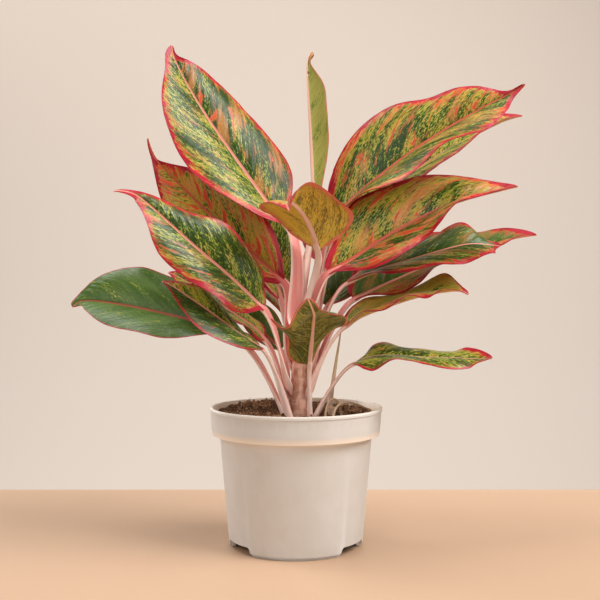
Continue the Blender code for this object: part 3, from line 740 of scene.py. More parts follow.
def cane_share(height):
    return (height - SOIL_LEVEL + STEM_DEPTH) / (CANE_TOP_HEIGHT - SOIL_LEVEL + STEM_DEPTH)


def cane_centre(height):
    t = max(0.0, cane_share(height)) ** CANE_BEND
    return Vector((mix(CANE_FOOT[0], CANE_TOP[0], t), mix(CANE_FOOT[1], CANE_TOP[1], t), height))


def cane_radius(height):
    return mix(*CANE_RADII, cane_share(height))


def petiole_ends(leaf):
    """Foot and top of a petiole's centre line, and the way that its inner side looks at the foot."""
    kind, first, second = leaf.foot
    if kind == "soil":
        foot = Vector((first, second, SOIL_LEVEL - STEM_DEPTH))
        inward = (Vector((*CANE_FOOT, 0.0)) - Vector((first, second, 0.0))).normalized()
    elif kind == "top":
        foot = cane_centre(CANE_TOP_HEIGHT + 2.0 * CLEAR)
        inward = Vector((1.0, 0.0, 0.0))
    else:
        outward = polar(1.0, first, 0.0)
        foot = cane_centre(second) + outward * (cane_radius(second) + PETIOLE_FOOT_HALF[1] + CLEAR)
        inward = -outward
    along, _, upper = rib_frame(leaf, BLADE_START)
    top = rib_point(leaf, BLADE_START) - along * CLEAR - upper * PETIOLE_TOP_HALF[1]
    return foot, top, inward


def petiole_centre(leaf, ends, t):
    """Rises along the cane, bends out to the blade's base, and past t = 1 runs on under the midrib."""
    foot, top, inward = ends
    if t > 1.0:
        u = BLADE_START + (t - 1.0)
        _, _, upper = rib_frame(leaf, u)
        return rib_point(leaf, u) - upper * PETIOLE_TOP_HALF[1]
    along, _, _ = rib_frame(leaf, BLADE_START)
    reach = (top - foot).length
    turn = top - along * PETIOLE_SWEEP * reach
    rise = Vector((0.0, 0.0, PETIOLE_RISE * reach)) - inward * PETIOLE_LEAN * reach
    if leaf.foot[0] == "soil":
        rise = (turn - foot).normalized() * PETIOLE_RISE * reach
    points = (foot, foot + rise, turn, top)
    weights = ((1 - t) ** 3, 3 * t * (1 - t) ** 2, 3 * t * t * (1 - t), t**3)
    return sum((point * weight for point, weight in zip(points, weights)), Vector())


def petiole_section(angle, channel):
    """A point of the section, across and inwards, in shares of its half width and half depth."""
    x = math.cos(angle)
    y = math.sin(angle)
    if y > 0.0:
        lips = mix(CHANNEL_FLOOR, 1.0, band(abs(x), *CHANNEL_LIPS))
        y *= mix(1.0, lips, channel)
    return x, y


def make_petiole(leaf, seed, material):
    ends = petiole_ends(leaf)
    foot, top, inward = ends
    reach = (top - foot).length
    foot_half = SOIL_PETIOLE_HALF if leaf.foot[0] == "soil" else PETIOLE_FOOT_HALF
    bm = bmesh.new()
    stalk = bm.verts.layers.float_vector.new("stalk")
    tone = bm.verts.layers.float_vector.new("tone")
    for vert, share, turn in grid_spots(bm, PETIOLE_STEPS, PETIOLE_SIDES):
        t = share * (1.0 + KEEL_RUN)
        angle = 2.0 * math.pi * turn
        centre = petiole_centre(leaf, ends, t)
        before = petiole_centre(leaf, ends, min(t, 1.0) - CURVE_STEP)
        along = (petiole_centre(leaf, ends, min(t, 1.0)) - before).normalized()
        _, _, upper = rib_frame(leaf, BLADE_START + max(0.0, t - 1.0))
        inner = inward.lerp(upper, smoothstep(t * TURN_PACES.get(leaf.name, 1.0)))
        inner = (inner - along * inner.dot(along)).normalized()
        side = along.cross(inner)
        narrowed = smoothstep(PETIOLE_NARROWING * t)
        shrink = 1.0 - RUN_SHRINK * band(t, 1.0, 1.0 + KEEL_RUN)
        wide = mix(foot_half[0] * FOOT_FULLNESS, PETIOLE_TOP_HALF[0] * TOP_FULLNESS, narrowed) * shrink
        fullest = mix(SHARE_AT_FOOT, 1.0, bell(t - FULLEST_PLACE, FULLEST_RUN))
        wide *= mix(1.0, STALK_SHARES.get(leaf.name, 1.0), fullest)
        deep = mix(foot_half[1], PETIOLE_TOP_HALF[1], narrowed) * shrink
        deep *= mix(DEPTH_SHARES.get(leaf.name, 1.0), 1.0, band(t, *DEPTH_RUN))
        x, y = petiole_section(angle, (1.0 - band(t, *CHANNEL_FADE)) * CHANNEL_DEPTH)
        clasp = 0.0
        if leaf.foot[0] == "cane":
            hold = 1.0 - band(t, 0.0, CLASP_RUN)
            wide *= (1.0 + CLASP_SPREAD * hold) * mix(CLASP_POINT, 1.0, band(t, 0.0, CLASP_TAPER))
            deep *= 1.0 - CLASP_THINNING * (1.0 - band(t, 0.0, CLASP_THIN_RUN))
            clasp = hold * (wide * x) ** 2 / (CLASP_FIT * CANE_RADII[0])
            clasp += CLASP_SINK * (1.0 - band(t, 0.0, CLASP_SINK_RUN))
        spot = Vector((x * SKIN_CROWDING, y * SKIN_CROWDING, t * reach / SKIN_LENGTH + seed))
        rough = 1.0 + SKIN_ROUGHNESS * noise.noise(spot)
        vert[stalk] = (t * reach, x, math.sin(angle))
        vert[tone] = leaf.tones[0]
        vert.co = (centre + side * (wide * x * rough) + inner * (deep * y * rough + clasp)) * MM
    close_tube(bm)
    return finish_object("stalk_" + leaf.name, bm, [material], ["petiole_" + leaf.name])


# Cane, shoot and roots

# How each grows: its path, its radius at both ends, and how knotty it is.
Strand = namedtuple("Strand", "name node path radii knots slot")
STRANDS = (
    Strand("rolled_shoot", "shoot", ((25, 9, 88), (25, 9, 108), (31, 6, 138), (34, 3, 161)),
           (2.6, 0.5), 0.04, "shoot"),
    Strand("looped_root", "root_loop", ((22, -9, 88), (20, -9, 118), (36, -7, 118), (34, -7, 88)),
           (0.95, 0.8), 0.22, "root"),
    Strand("runner_root", "root_runner", ((27, -15, 88), (26, -16, 118), (44, -6, 107), (57, 0, 101)),
           (1.0, 0.7), 0.25, "root"),
    Strand("old_stalk_stub", "stub", ((27, 0, 88), (27, 0, 97), (27, -0.5, 104)), (2.9, 2.7), 0.08, "root"),
)
STRAND_STEPS = 60
STRAND_SIDES = 16
KNOT_LENGTH = 4.0
KNOT_CROWDING = 1.3
END_ROUNDING = 30.0
END_BLUNTNESS = 0.25


def curve_point(path, t):
    """A smooth curve near the path's points: a Bezier of the path's own order."""
    order = len(path) - 1
    total = Vector()
    for i, point in enumerate(path):
        total += Vector(point) * (math.comb(order, i) * t**i * (1 - t) ** (order - i))
    return total


def make_strand(strand, seed, material):
    bm = bmesh.new()
    stalk = bm.verts.layers.float_vector.new("stalk")
    length = sum((Vector(b) - Vector(a)).length for a, b in zip(strand.path, strand.path[1:]))
    start = Vector((0.0, 1.0, 0.0))
    for vert, t, turn in grid_spots(bm, STRAND_STEPS, STRAND_SIDES):
        angle = 2.0 * math.pi * turn
        before = curve_point(strand.path, t - CURVE_STEP)
        along = (curve_point(strand.path, t + CURVE_STEP) - before).normalized()
        side = (start - along * start.dot(along)).normalized()
        outward = side * math.cos(angle) + along.cross(side) * math.sin(angle)
        spot = Vector((math.cos(angle), math.sin(angle), t * length / KNOT_LENGTH + seed))
        radius = mix(*strand.radii, t) * (1.0 + strand.knots * noise.noise(spot * KNOT_CROWDING))
        radius *= math.sqrt(clamp((1.0 - t) * END_ROUNDING + END_BLUNTNESS))
        vert[stalk] = (t * length, math.cos(angle), math.sin(angle))
        vert.co = (curve_point(strand.path, t) + outward * radius) * MM
    close_tube(bm)
    return finish_object(strand.name, bm, [material], [strand.node])


SCAR_PITCH = 9.0
SCAR_RISE = 0.14
SCAR_NARROWNESS = 6
SCAR_SLANT = 1.1
SLANT_TURN = 0.35
SLANT_WANDER = 1.5
WANDER_LENGTH = 20.0
BARK_ROUGHNESS = 0.25
BARK_LENGTH = 5.0
BARK_FRACTAL = (0.8, 2.0, 3)
DOME_HEIGHT = 4.0
CANE_STEPS = 150
CANE_SIDES = 56


def make_cane(material):
    """The stem with the ring scars of old leaves, a little oblique, and a domed top."""
    bm = bmesh.new()
    stalk = bm.verts.layers.float_vector.new("stalk")
    for vert, share, turn in grid_spots(bm, CANE_STEPS, CANE_SIDES):
        height = mix(SOIL_LEVEL - STEM_DEPTH, CANE_TOP_HEIGHT, share)
        angle = 2.0 * math.pi * turn
        x, y = math.cos(angle), math.sin(angle)
        slant = height + SCAR_SLANT * math.cos(angle + height * SLANT_TURN)
        slant += SLANT_WANDER * noise.noise(Vector((x, y, height / WANDER_LENGTH)))
        scar = max(0.0, math.cos(2.0 * math.pi * slant / SCAR_PITCH)) ** SCAR_NARROWNESS
        spot = Vector((x * SKIN_CROWDING, y * SKIN_CROWDING, height / BARK_LENGTH))
        rough = noise.fractal(spot, *BARK_FRACTAL)
        radius = cane_radius(height) + SCAR_RISE * (scar - 0.5) + BARK_ROUGHNESS * rough
        radius *= math.sqrt(clamp((CANE_TOP_HEIGHT - height) / DOME_HEIGHT))
        vert[stalk] = (slant, x, y)
        vert.co = (cane_centre(height) + polar(radius, math.degrees(angle), 0.0)) * MM
    close_tube(bm)
    return finish_object("cane_bark", bm, [material], ["cane"])


# Potting mix

# The mix's heap towards the back, higher on the left, and its drop at the pot's wall.
HEAP_RUN = (-12.0, 40.0)
HEAP_HEIGHTS = (6.2, 4.0)
HEAP_SIDES = (-40.0, 40.0)
EDGE_DROP = 2.2
EDGE_RADIUS = 65.0
EDGE_STEEPNESS = 6
# Its swells, broad and fine: height, seed, waves in a millimetre, and the fractal's three numbers.
SWELLS = ((1.6, 3.0, 0.09, 0.7, 2.1, 4), (1.1, 9.0, 0.34, 0.6, 2.2, 4))
GRAIN_HEIGHT = 0.5
GRAIN_SEED = 21.0
GRAIN_CROWDING = 1.1


def soil_height(x, y):
    """Height of the mix's uneven top, millimetres."""
    height = SOIL_LEVEL + band(y, *HEAP_RUN) * mix(*HEAP_HEIGHTS, band(x, *HEAP_SIDES))
    for rise, seed, crowding, *fractal in SWELLS:
        height += rise * noise.fractal(Vector((x, y, seed)) * crowding, *fractal)
    height += GRAIN_HEIGHT * noise.noise(Vector((x, y, GRAIN_SEED)) * GRAIN_CROWDING)
    return height - EDGE_DROP * (math.hypot(x, y) / EDGE_RADIUS) ** EDGE_STEEPNESS


# Radius and height of the plug's outside, from the pot's floor up.
SOIL_RADII = (
    (0.0, POT_FLOOR + CLEAR), (45.5, POT_FLOOR + CLEAR), (47.9, 11.0),
    (54.9, 84.5), (60.3, 88.5), (61.3, 92.0),
)
SOIL_RING_START = 0.25
SOIL_STEPS = 120
SOIL_SIDES = 200


def make_mix(material):
    """The filling: a plug with a rough top."""
    bm = bmesh.new()
    last = len(SOIL_RADII) - 1
    for vert, t, turn in grid_spots(bm, SOIL_STEPS, SOIL_SIDES):
        if t < SOIL_RING_START:
            share = t / SOIL_RING_START * last
            low = min(int(share), last - 1)
            radius, height = (mix(a, b, share - low) for a, b in zip(SOIL_RADII[low], SOIL_RADII[low + 1]))
            spot = polar(radius, 360.0 * turn, height)
        else:
            radius = SOIL_RADII[-1][0] * (1.0 - (t - SOIL_RING_START) / (1.0 - SOIL_RING_START))
            spot = polar(radius, 360.0 * turn, 0.0)
            spot.z = soil_height(spot.x, spot.y)
        vert.co = spot * MM
    close_tube(bm)
    return finish_object("potting_mix", bm, [material], ["soil"], sharp=180.0)


def stem_feet():
    """Middle and radius of what stands in the mix."""
    feet = [(Vector((*CANE_FOOT, 0.0)), CANE_RADII[0])]
    for leaf in LEAVES:
        if leaf.foot[0] == "soil":
            feet.append((Vector((leaf.foot[1], leaf.foot[2], 0.0)), SOIL_PETIOLE_HALF[0]))
    for strand in STRANDS:
        for end in (strand.path[0], strand.path[-1]):
            feet.append((Vector((end[0], end[1], 0.0)), strand.radii[0]))
    return feet


def scattered(rng, count, room, outer):
    """Even random places on the mix, clear of the stems."""
    feet = stem_feet()
    places = []
    while len(places) < count:
        spot = polar(outer * math.sqrt(rng.random()), 360.0 * rng.random(), 0.0)
        if all((spot - middle).length > radius + room for middle, radius in feet):
            spot.z = soil_height(spot.x, spot.y)
            places.append(spot)
    return places


# Sizes, millimetres, and how slim the slimmest lump is, in shares of its length.
CRUMB_SIZES = (0.35, 1.3)
CRUMB_SLIMNESS = 0.6
CHIP_SIZES = (1.0, 2.6)
CHIP_SLIMNESS = 0.3
CRUMB_LUMPS = 1.7
CRUMB_ROOM = 1.2
CRUMB_REACH = 59.0
CRUMB_WOBBLE = 0.35
CRUMB_SINK = 0.35


def make_crumbs(name, count, sizes, slim, material, seed):
    """Loose lumps and chips of the mix."""
    rng = random.Random(seed)
    bm = bmesh.new()
    grain = bm.verts.layers.float_vector.new("grain")
    for spot in scattered(rng, count, CRUMB_ROOM, CRUMB_REACH):
        size = mix(*sizes, rng.random() ** 2)
        made = bmesh.ops.create_icosphere(bm, subdivisions=1, radius=size)
        shade = rng.random()
        turn = Euler([rng.uniform(0.0, 6.3) for _ in range(3)]).to_matrix()
        stretch = Vector((1.0, mix(slim, 1.0, rng.random()), mix(slim, 0.8, rng.random())))
        for vert in made["verts"]:
            vert[grain] = (shade, size, 0.0)
            wobble = 1.0 + CRUMB_WOBBLE * noise.noise(vert.co * CRUMB_LUMPS + spot)
            place = turn @ (vert.co * stretch * wobble) + spot
            vert.co = (place + Vector((0.0, 0.0, CRUMB_SINK * size))) * MM
    return finish_object(name, bm, [material], [], sharp=30.0)


FIBRE_LENGTHS = (3.0, 14.0)
FIBRE_RADII = (0.10, 0.26)
FIBRE_ANGLES = (-8.0, 60.0)
FIBRE_ROOM = 1.0
FIBRE_REACH = 57.0
FIBRE_STEPS = 6
FIBRE_SIDES = 4
FIBRE_BEND = (0.1, 0.4)
FIBRE_TAPER = 0.6
FIBRE_START = 0.35
FIBRE_LIFT = Vector((0.0, 0.0, 0.3))


def make_fibres(name, count, material, seed):
    """Bent coir fibres that lie on and stand out of the mix."""
    rng = random.Random(seed)
    bm = bmesh.new()
    grain = bm.verts.layers.float_vector.new("grain")
    for spot in scattered(rng, count, FIBRE_ROOM, FIBRE_REACH):
        length = mix(*FIBRE_LENGTHS, rng.random() ** 1.5)
        radius = mix(*FIBRE_RADII, rng.random())
        heading = direction(360.0 * rng.random(), mix(*FIBRE_ANGLES, rng.random() ** 2))
        bend = direction(360.0 * rng.random(), rng.uniform(-60.0, 60.0)) * length * rng.uniform(*FIBRE_BEND)
        shade = rng.random()
        side = heading.orthogonal().normalized()
        spots = grid_spots(bm, FIBRE_STEPS, FIBRE_SIDES)
        for vert, t, turn in spots:
            angle = 2.0 * math.pi * turn
            outward = side * math.cos(angle) + heading.cross(side) * math.sin(angle)
            line = spot + heading * (length * (t - FIBRE_START)) + bend * (t * t - t)
            thick = radius * (1.0 - FIBRE_TAPER * abs(2.0 * t - 1.0))
            vert[grain] = (shade, t, 1.0)
            vert.co = (line + outward * thick + FIBRE_LIFT) * MM
        bmesh.ops.remove_doubles(bm, verts=[vert for vert, _, _ in spots], dist=1e-7)
    fill_ends(bm)
    return finish_object(name, bm, [material], [])


# Pot

RIM_RADIUS = 65.0
POT_HEIGHT = 104.0
BAND_DEPTH = 20.0
BAND_TAPER = 2.0
WALL_TOP_RADIUS = 57.3
WALL_FOOT_RADIUS = 50.3
WALL = 2.0
LIP = 1.9
CORNER = 0.5
FOOT_HEIGHT = 2.2
FOOT_RADIUS = 48.2
FOOT_WIDTH = 2.6
FLOOR_UNDERSIDE = 6.4
PAD_RADIUS = 12.0
NOTCH_ANGLES = (-150.0, -30.0, 90.0)
NOTCH_HALF = 17.0
NOTCH_EDGE = 3.0
NOTCH_RISE = 4.0
SLOT_RADII = (36.0, 44.5)
SLOT_HALF = 15.0
SLOT_MIDDLE = 7.4
SLOT_HEIGHT = 6.0
SLOT_CUTS = 7
BEVEL = 0.42
BEVEL_FROM_ANGLE = 12.0
LEAST_RISE = 0.05
BAND_STEP = (1.0, 0.6)
BAND_KNEE = (0.85, 8.0)
LIP_STEP = 0.75
LIP_DEPTHS = (3.0, 2.4)
SHOULDER_RISE = 4.0
FLOOR_CORNER = 2.0
POT_SIDES = 240


def notch(degrees):
    """1 inside a notch of the foot, 0 outside it, with a soft edge."""
    away = min(abs((degrees - middle + 180.0) % 360.0 - 180.0) for middle in NOTCH_ANGLES)
    return smoothstep((NOTCH_HALF + NOTCH_EDGE - away) / NOTCH_EDGE)


def pot_profile(cut):
    """Radius and height round the pot's section, from under the floor up the outside and down the inside."""
    band_foot = POT_HEIGHT - BAND_DEPTH
    edge = FOOT_HEIGHT + NOTCH_RISE * cut
    ring = FLOOR_UNDERSIDE * cut
    return (
        (0.0, 0.0),
        (PAD_RADIUS, 0.0),
        (PAD_RADIUS + CORNER, FLOOR_UNDERSIDE),
        (FOOT_RADIUS - FOOT_WIDTH - CORNER, FLOOR_UNDERSIDE),
        (FOOT_RADIUS - FOOT_WIDTH, ring),
        (FOOT_RADIUS, ring),
        (FOOT_RADIUS, max(edge, ring + LEAST_RISE)),
        (WALL_FOOT_RADIUS, max(edge, ring + LEAST_RISE)),
        (WALL_TOP_RADIUS, band_foot - BAND_STEP[1]),
        (WALL_TOP_RADIUS + BAND_STEP[0], band_foot),
        (RIM_RADIUS - BAND_TAPER, band_foot),
        (RIM_RADIUS - BAND_TAPER + BAND_KNEE[0], band_foot + BAND_KNEE[1]),
        (RIM_RADIUS - LIP_STEP, POT_HEIGHT - LIP_DEPTHS[0]),
        (RIM_RADIUS, POT_HEIGHT - LIP_DEPTHS[1]),
        (RIM_RADIUS, POT_HEIGHT),
        (RIM_RADIUS - LIP, POT_HEIGHT),
        (RIM_RADIUS - BAND_TAPER - WALL, band_foot + SHOULDER_RISE),
        (WALL_TOP_RADIUS - WALL, band_foot + CORNER),
        (WALL_FOOT_RADIUS - WALL, POT_FLOOR + FLOOR_CORNER),
        (WALL_FOOT_RADIUS - WALL - FLOOR_CORNER, POT_FLOOR),
        (0.0, POT_FLOOR),
    )


def slot_cutter(middle):
    bm = bmesh.new()
    bmesh.ops.create_cube(bm, size=1.0)
    bmesh.ops.subdivide_edges(bm, edges=bm.edges[:], cuts=SLOT_CUTS, use_grid_fill=True)
    for vert in bm.verts:
        radius = mix(*SLOT_RADII, vert.co.x + 0.5)
        height = SLOT_MIDDLE + SLOT_HEIGHT * vert.co.z
        vert.co = polar(radius, middle + 2.0 * SLOT_HALF * vert.co.y, height) * MM
    bmesh.ops.recalc_face_normals(bm, faces=bm.faces)
    return make_object("slot_cutter", bm)


def make_pot(material):
    bm = bmesh.new()
    row = bm.verts.layers.int.new("row")
    profile = []
    for index, (radius, height) in enumerate(pot_profile(0.0)):
        vert = bm.verts.new((radius * MM, 0.0, height * MM))
        vert[row] = index
        profile.append(vert)
    edges = [bm.edges.new(pair) for pair in zip(profile, profile[1:])]
    bmesh.ops.spin(bm, geom=profile + edges, cent=(0, 0, 0), axis=(0, 0, 1), dvec=(0, 0, 0),
                   angle=2.0 * math.pi, steps=POT_SIDES, use_merge=True)
    bmesh.ops.remove_doubles(bm, verts=bm.verts, dist=1e-6)
    whole = pot_profile(0.0)
    cut = pot_profile(1.0)
    for vert in bm.verts:
        open_share = notch(math.degrees(math.atan2(vert.co.y, vert.co.x)))
        vert.co.z = mix(whole[vert[row]][1], cut[vert[row]][1], open_share) * MM
    corners = []
    for edge in bm.edges:
        one, two = edge.verts
        rings = one[row] == two[row] and math.hypot(one.co.x, one.co.y) > 1.0 * MM
        if rings and len(edge.link_faces) == 2 and edge.calc_face_angle(0.0) > math.radians(BEVEL_FROM_ANGLE):
            corners.append(edge)
    bmesh.ops.bevel(bm, geom=corners, offset=BEVEL * MM, offset_type="OFFSET", affect="EDGES", segments=3,
                    profile=0.5, material=-1, clamp_overlap=True)
    bmesh.ops.recalc_face_normals(bm, faces=bm.faces)
    pot = finish_object("nursery_pot", bm, [material], ["pot"], sharp=35.0)
    for middle in NOTCH_ANGLES:
        cutter = slot_cutter(middle)
        boolean = pot.modifiers.new("slot", "BOOLEAN")
        boolean.operation = "DIFFERENCE"
        boolean.object = cutter
        graph = bpy.context.evaluated_depsgraph_get()
        holed = bpy.data.meshes.new_from_object(pot.evaluated_get(graph))
        pot.modifiers.remove(boolean)
        pot.data = holed
        bpy.data.objects.remove(cutter, do_unlink=True)
    return pot


# Materials

# Widths on a blade, millimetres.
STIPPLE_REACH = 6.5
STIPPLE_END = (0.5, 1.0)
MARGIN_SOFTNESS = 0.35
FLUSH_REACH = 14.0
UNDER_FLUSH = (0.5, 9.0)
RIM_LINE = (0.10, 0.55)
VEIN_LINE = (0.05, 0.5)
UNDER_VEIN_LINE = (0.10, 0.55)
OFF_RIB = (1.0, 3.0)
OFF_MARGIN = (1.5, 6.0)
# Where the midrib's colour ends, in shares of its half width.
RIB_END = (0.75, 1.10)
KEEL_END = (0.55, 0.85)
# Shares of a blade's length where its margin widens at the base and at the tip.
WIDE_BASE = (0.02, 0.16)
WIDE_TIP = (0.84, 0.97)
# How far the noise moves from leaf to leaf and from one half of a blade to the other, and how much the side
# veins wander, in shares of their spacing.
LEAF_STRIDE = 7.0
HALF_STRIDE = 3.0
VEIN_WANDER = 1.1
# Heights and radii on the pot, millimetres.
DUST_TOP = (1.0, 12.0)
DAMP_FOOT = (92.0, 98.0)
DAMP_TOP = (98.0, 100.5)
# Where the inner wall's painted light lies: its radius, then its height.
INSIDE_END = (62.9, 63.6)
INSIDE_FOOT = (80.0, 86.0)
# Where the painted highlights lie: on the lip's top, then on the band's lower edge by height and radius.
LIP_HIGHLIGHT = (102.6, 103.5)
BAND_HIGHLIGHT_FOOT = (83.7, 84.2)
BAND_HIGHLIGHT_TOP = (84.5, 85.2)
BAND_HIGHLIGHT_START = (61.5, 62.5)
# Heights of the fine grain, metres.
UPPER_GRAIN = 0.00022
UNDER_GRAIN = 0.0003
STEM_GRAIN = 0.0004
MIX_GRAIN = 0.0016
CRUMB_GRAIN = 0.0006
POT_GRAIN = 0.00012
# Millimetres over which the shoot and the roots change colour.
SHOOT_FADE = 60.0
ROOT_FADE = 70.0
# The noises of a blade: waves in a millimetre along the side veins and across the blade, seed, detail and
# roughness.
STREAKS = {
    "patch": (0.075, 0.055, 0.0, 2.0, 0.5),
    "flush": (0.11, 0.085, 60.0, 3.0, 0.6),
    "brush": (0.20, 0.16, 20.0, 3.0, 0.65),
    "cloud": (0.040, 0.034, 50.0, 2.0, 0.5),
    "stroke": (0.42, 0.10, 30.0, 2.0, 0.6),
    "speck": (0.52, 0.66, 40.0, 2.0, 0.65),
}


def leaf_pattern(graph):
    """What both faces of a blade share: its places, its red, yellow and dark values, which are partly painted
    shade, and noises that run along the side veins.
    """
    look = bpy.context.scene.evergreen_leaf
    vein, across, margin = graph.attribute("veins")
    red, yellow, dark = graph.attribute("tone")
    rib, share, seed = graph.attribute("rib")
    half = seed * LEAF_STRIDE + across.sign() * HALF_STRIDE
    out = abs(across)
    wander = graph.noise((vein * 0.05, out * 0.07, half + 10.0), detail=1.0)
    turn = (vein / (look.vein_spacing / MM) + wander.swing(VEIN_WANDER)).fract()
    from_vein = (0.5 - abs(turn - 0.5)) * (look.vein_spacing / MM)
    values = {
        "margin": margin, "red": red, "yellow": yellow, "dark": dark, "rib": rib, "share": share, "out": out,
        "from_vein": from_vein,
        "edge": graph.noise((vein * 0.12, margin * 0.15, half + 80.0), detail=3.0, roughness=0.6),
    }
    for name, (long, wide, start, detail, roughness) in STREAKS.items():
        values[name] = graph.noise((vein * long, out * wide, half + start), detail, roughness)
    return namedtuple("Pattern", values)(**values)


def margin_masks(look, p):
    """Masks of the coloured margin and of the stippled zone inside it."""
    ends = p.share.fade(*WIDE_BASE) + p.share.step(*WIDE_TIP)
    swell = 0.40 + p.edge.step(0.40, 0.66) * 1.5 * p.red.step(0.1, 0.5) + ends * 1.8 * p.red.step(0.2, 0.6)
    width = (0.45 + 0.75 * p.red) * (look.margin / MM) * swell + p.speck.swing(1.6) + 0.25
    solid = (p.margin - width).fade(-MARGIN_SOFTNESS, MARGIN_SOFTNESS)
    reach = (p.margin - width) / STIPPLE_REACH
    stipple = (p.speck - 0.40 - reach * 0.30).step(0.0, 0.07) * p.red.step(0.15, 0.6)
    stipple *= reach.fade(*STIPPLE_END)
    return solid, stipple


def leaf_upper_material():
    look = bpy.context.scene.evergreen_leaf
    graph = Graph("leaf upper side")
    p = leaf_pattern(graph)
    solid, stipple = margin_masks(look, p)
    fine = p.brush.swing(1.7) + p.stroke.swing(1.7) + p.speck.swing(6.0)
    # A higher dark value gives more dark green strokes: partly the leaf's own colouring, partly painted shade
    # of a half that turns from the light.
    measure = p.patch.swing(4.4) + fine + p.dark.swing(3.2)
    warm = (p.yellow + p.flush.swing(2.4)).step(0.15, 0.95)
    # Painted sheen: on the dark leaves, clouds of a lighter green stand in for the soft gloss of their upper
    # faces.
    sheen = graph.blend(p.cloud.step(0.42, 0.62), look.deep_green, look.painted_sheen_green)
    deep = graph.blend(p.dark.step(0.78, 0.88), look.dark_green, sheen)
    near = p.margin.fade(0.0, FLUSH_REACH)
    glow = (p.cloud + p.brush.swing(0.25)).step(0.52, 0.66) * p.red.step(0.45, 0.66)
    heat = p.flush + p.red.swing(0.20) + near * 0.06 + p.speck.swing(0.16)
    bronze = p.red.step(0.65, 0.90)
    wide = (p.flush - 0.54) * 11.0 + bronze * 0.6 + p.speck.swing(1.5)
    streak = (p.from_vein - wide).fade(0.0, 1.2) * p.red.step(0.35, 0.95) * p.out.step(1.0, 4.0)
    line = p.from_vein.fade(*VEIN_LINE) * p.out.step(*OFF_RIB) * p.margin.step(*OFF_MARGIN)
    fleck = (p.speck + p.brush.swing(0.4)).step(0.60, 0.70) * p.red.fade(0.2, 0.5)
    rim = p.margin.fade(*RIM_LINE)
    on_rib = p.rib.fade(*RIB_END)
    colour = graph.coats(
        look.ground_green,
        (warm, look.ground_yellow),
        ((-fine).step(0.15, 1.0) * 0.55, look.pale),
        (p.red.step(0.65, 0.85) * 0.85, look.bronze),
        (measure.step(-0.45, 0.05), look.mid_green),
        (measure.step(0.05, 0.60), deep),
        (glow * 0.7, look.peach),
        (heat.step(0.58, 0.69) * 0.6 * p.red.step(0.2, 0.6), look.peach),
        (heat.step(0.665, 0.695) * 0.9, look.flush),
        (streak * 0.8, look.vein_red),
        (line * p.brush.step(0.40, 0.65) * 0.22, look.pale),
        (fleck * 0.5, look.ground_green),
        (stipple * 0.75, look.flush),
        (solid, graph.blend(p.flush.step(0.42, 0.60), look.margin_colour, look.margin_light)),
        (rim * 0.5, look.rim_line),
        (on_rib, graph.coats(
            look.midrib_dull, (p.red.step(0.1, 0.4), look.midrib_pale), (p.red.step(0.56, 0.68), look.midrib)
        )),
    )
    normal = graph.bump(p.speck * 0.45 + p.brush * 0.8 - line * 0.5, UPPER_GRAIN)
    roughness = 0.24 + p.brush * 0.10 + on_rib * 0.10
    return graph.finish(colour, roughness, normal, Specular_IOR_Level=0.25)


def leaf_under_material():
    look = bpy.context.scene.evergreen_leaf
    graph = Graph("leaf underside")
    p = leaf_pattern(graph)
    solid, stipple = margin_masks(look, p)
    fine = p.brush.swing(2.4) + p.speck.swing(3.8)
    measure = p.patch.swing(3.2) + fine + p.dark.swing(2.0)
    deep = graph.blend(p.yellow.step(0.3, 0.8), look.under_dark, look.under_brown)
    deep = graph.blend(p.red.step(0.12, 0.18), look.mid_green, deep)
    near = p.margin.fade(*UNDER_FLUSH) * (0.4 + p.edge) * p.red.step(0.15, 0.5)
    line = p.from_vein.fade(*UNDER_VEIN_LINE) * p.out.step(*OFF_RIB) * p.margin.step(*OFF_MARGIN)
    colour = graph.coats(
        look.under_olive,
        (p.yellow.step(0.3, 0.85), look.under_yellow),
        (p.red.fade(0.12, 0.28), look.under_fresh),
        (measure.step(-0.35, 0.70) * 0.9, deep),
        (near.least(1.0) * 0.6, look.peach),
        (line * 0.55, look.under_vein),
        (stipple * 0.35, look.under_margin),
        (solid * 0.9, look.under_margin),
        (p.rib.fade(*KEEL_END), look.under_rib),
    )
    normal = graph.bump(p.speck * 0.5 + p.brush * 0.4 + line * 0.8, UNDER_GRAIN)
    return graph.finish(colour, 0.42 + p.brush * 0.14, normal, Specular_IOR_Level=0.3)


def petiole_material():
    look = bpy.context.scene.evergreen_stem
    graph = Graph("petiole")
    length, x, y = graph.attribute("stalk")
    red, _, _ = graph.attribute("tone")
    grain = graph.noise((length * 0.035, x * 4.5, y * 4.5), detail=3.0, roughness=0.6)
    cloud = graph.noise((length * 0.06, x * 0.8, y * 0.8 + red * 30.0), detail=2.0)
    inner = y.step(0.35, 0.90) * (0.60 + red * 0.6)
    colour = graph.coats(
        look.pale_pink,
        (cloud.step(0.35, 0.65), look.cream),
        ((inner * (0.6 + grain * 0.6)).least(1.0), look.inner_pink),
        (grain.step(0.5, 0.68) * 0.35, look.inner_pink),
    )
    return graph.finish(colour, 0.34 + grain * 0.16, graph.bump(grain, STEM_GRAIN))


def cane_material():
    look = bpy.context.scene.evergreen_stem
    graph = Graph("cane bark")
    height, x, y = graph.attribute("stalk")
    wave = (height * (2.0 * math.pi / SCAR_PITCH)).cosine()
    blotch = graph.noise((height * 0.085, x * 0.9, y * 0.9), detail=3.0, roughness=0.55)
    grain = graph.noise((height * 0.35, x * 3.6, y * 3.6), detail=4.0, roughness=0.65)
    corky = (blotch + grain.swing(0.25)).step(0.44, 0.64)
    scar = wave.step(0.55, 0.95)
    rim = wave.step(0.80, 0.90) * wave.fade(0.93, 0.99) * blotch.step(0.40, 0.6)
    colour = graph.coats(
        look.cane_pink,
        (corky * 0.85, look.cane_brown),
        (scar * 0.12, look.cane_pale),
        (rim * 0.15, look.cane_brown),
    )
    normal = graph.bump(grain * 0.6 + blotch * 0.4 - rim * 0.5, STEM_GRAIN)
    return graph.finish(colour, 0.42 + grain * 0.25, normal)


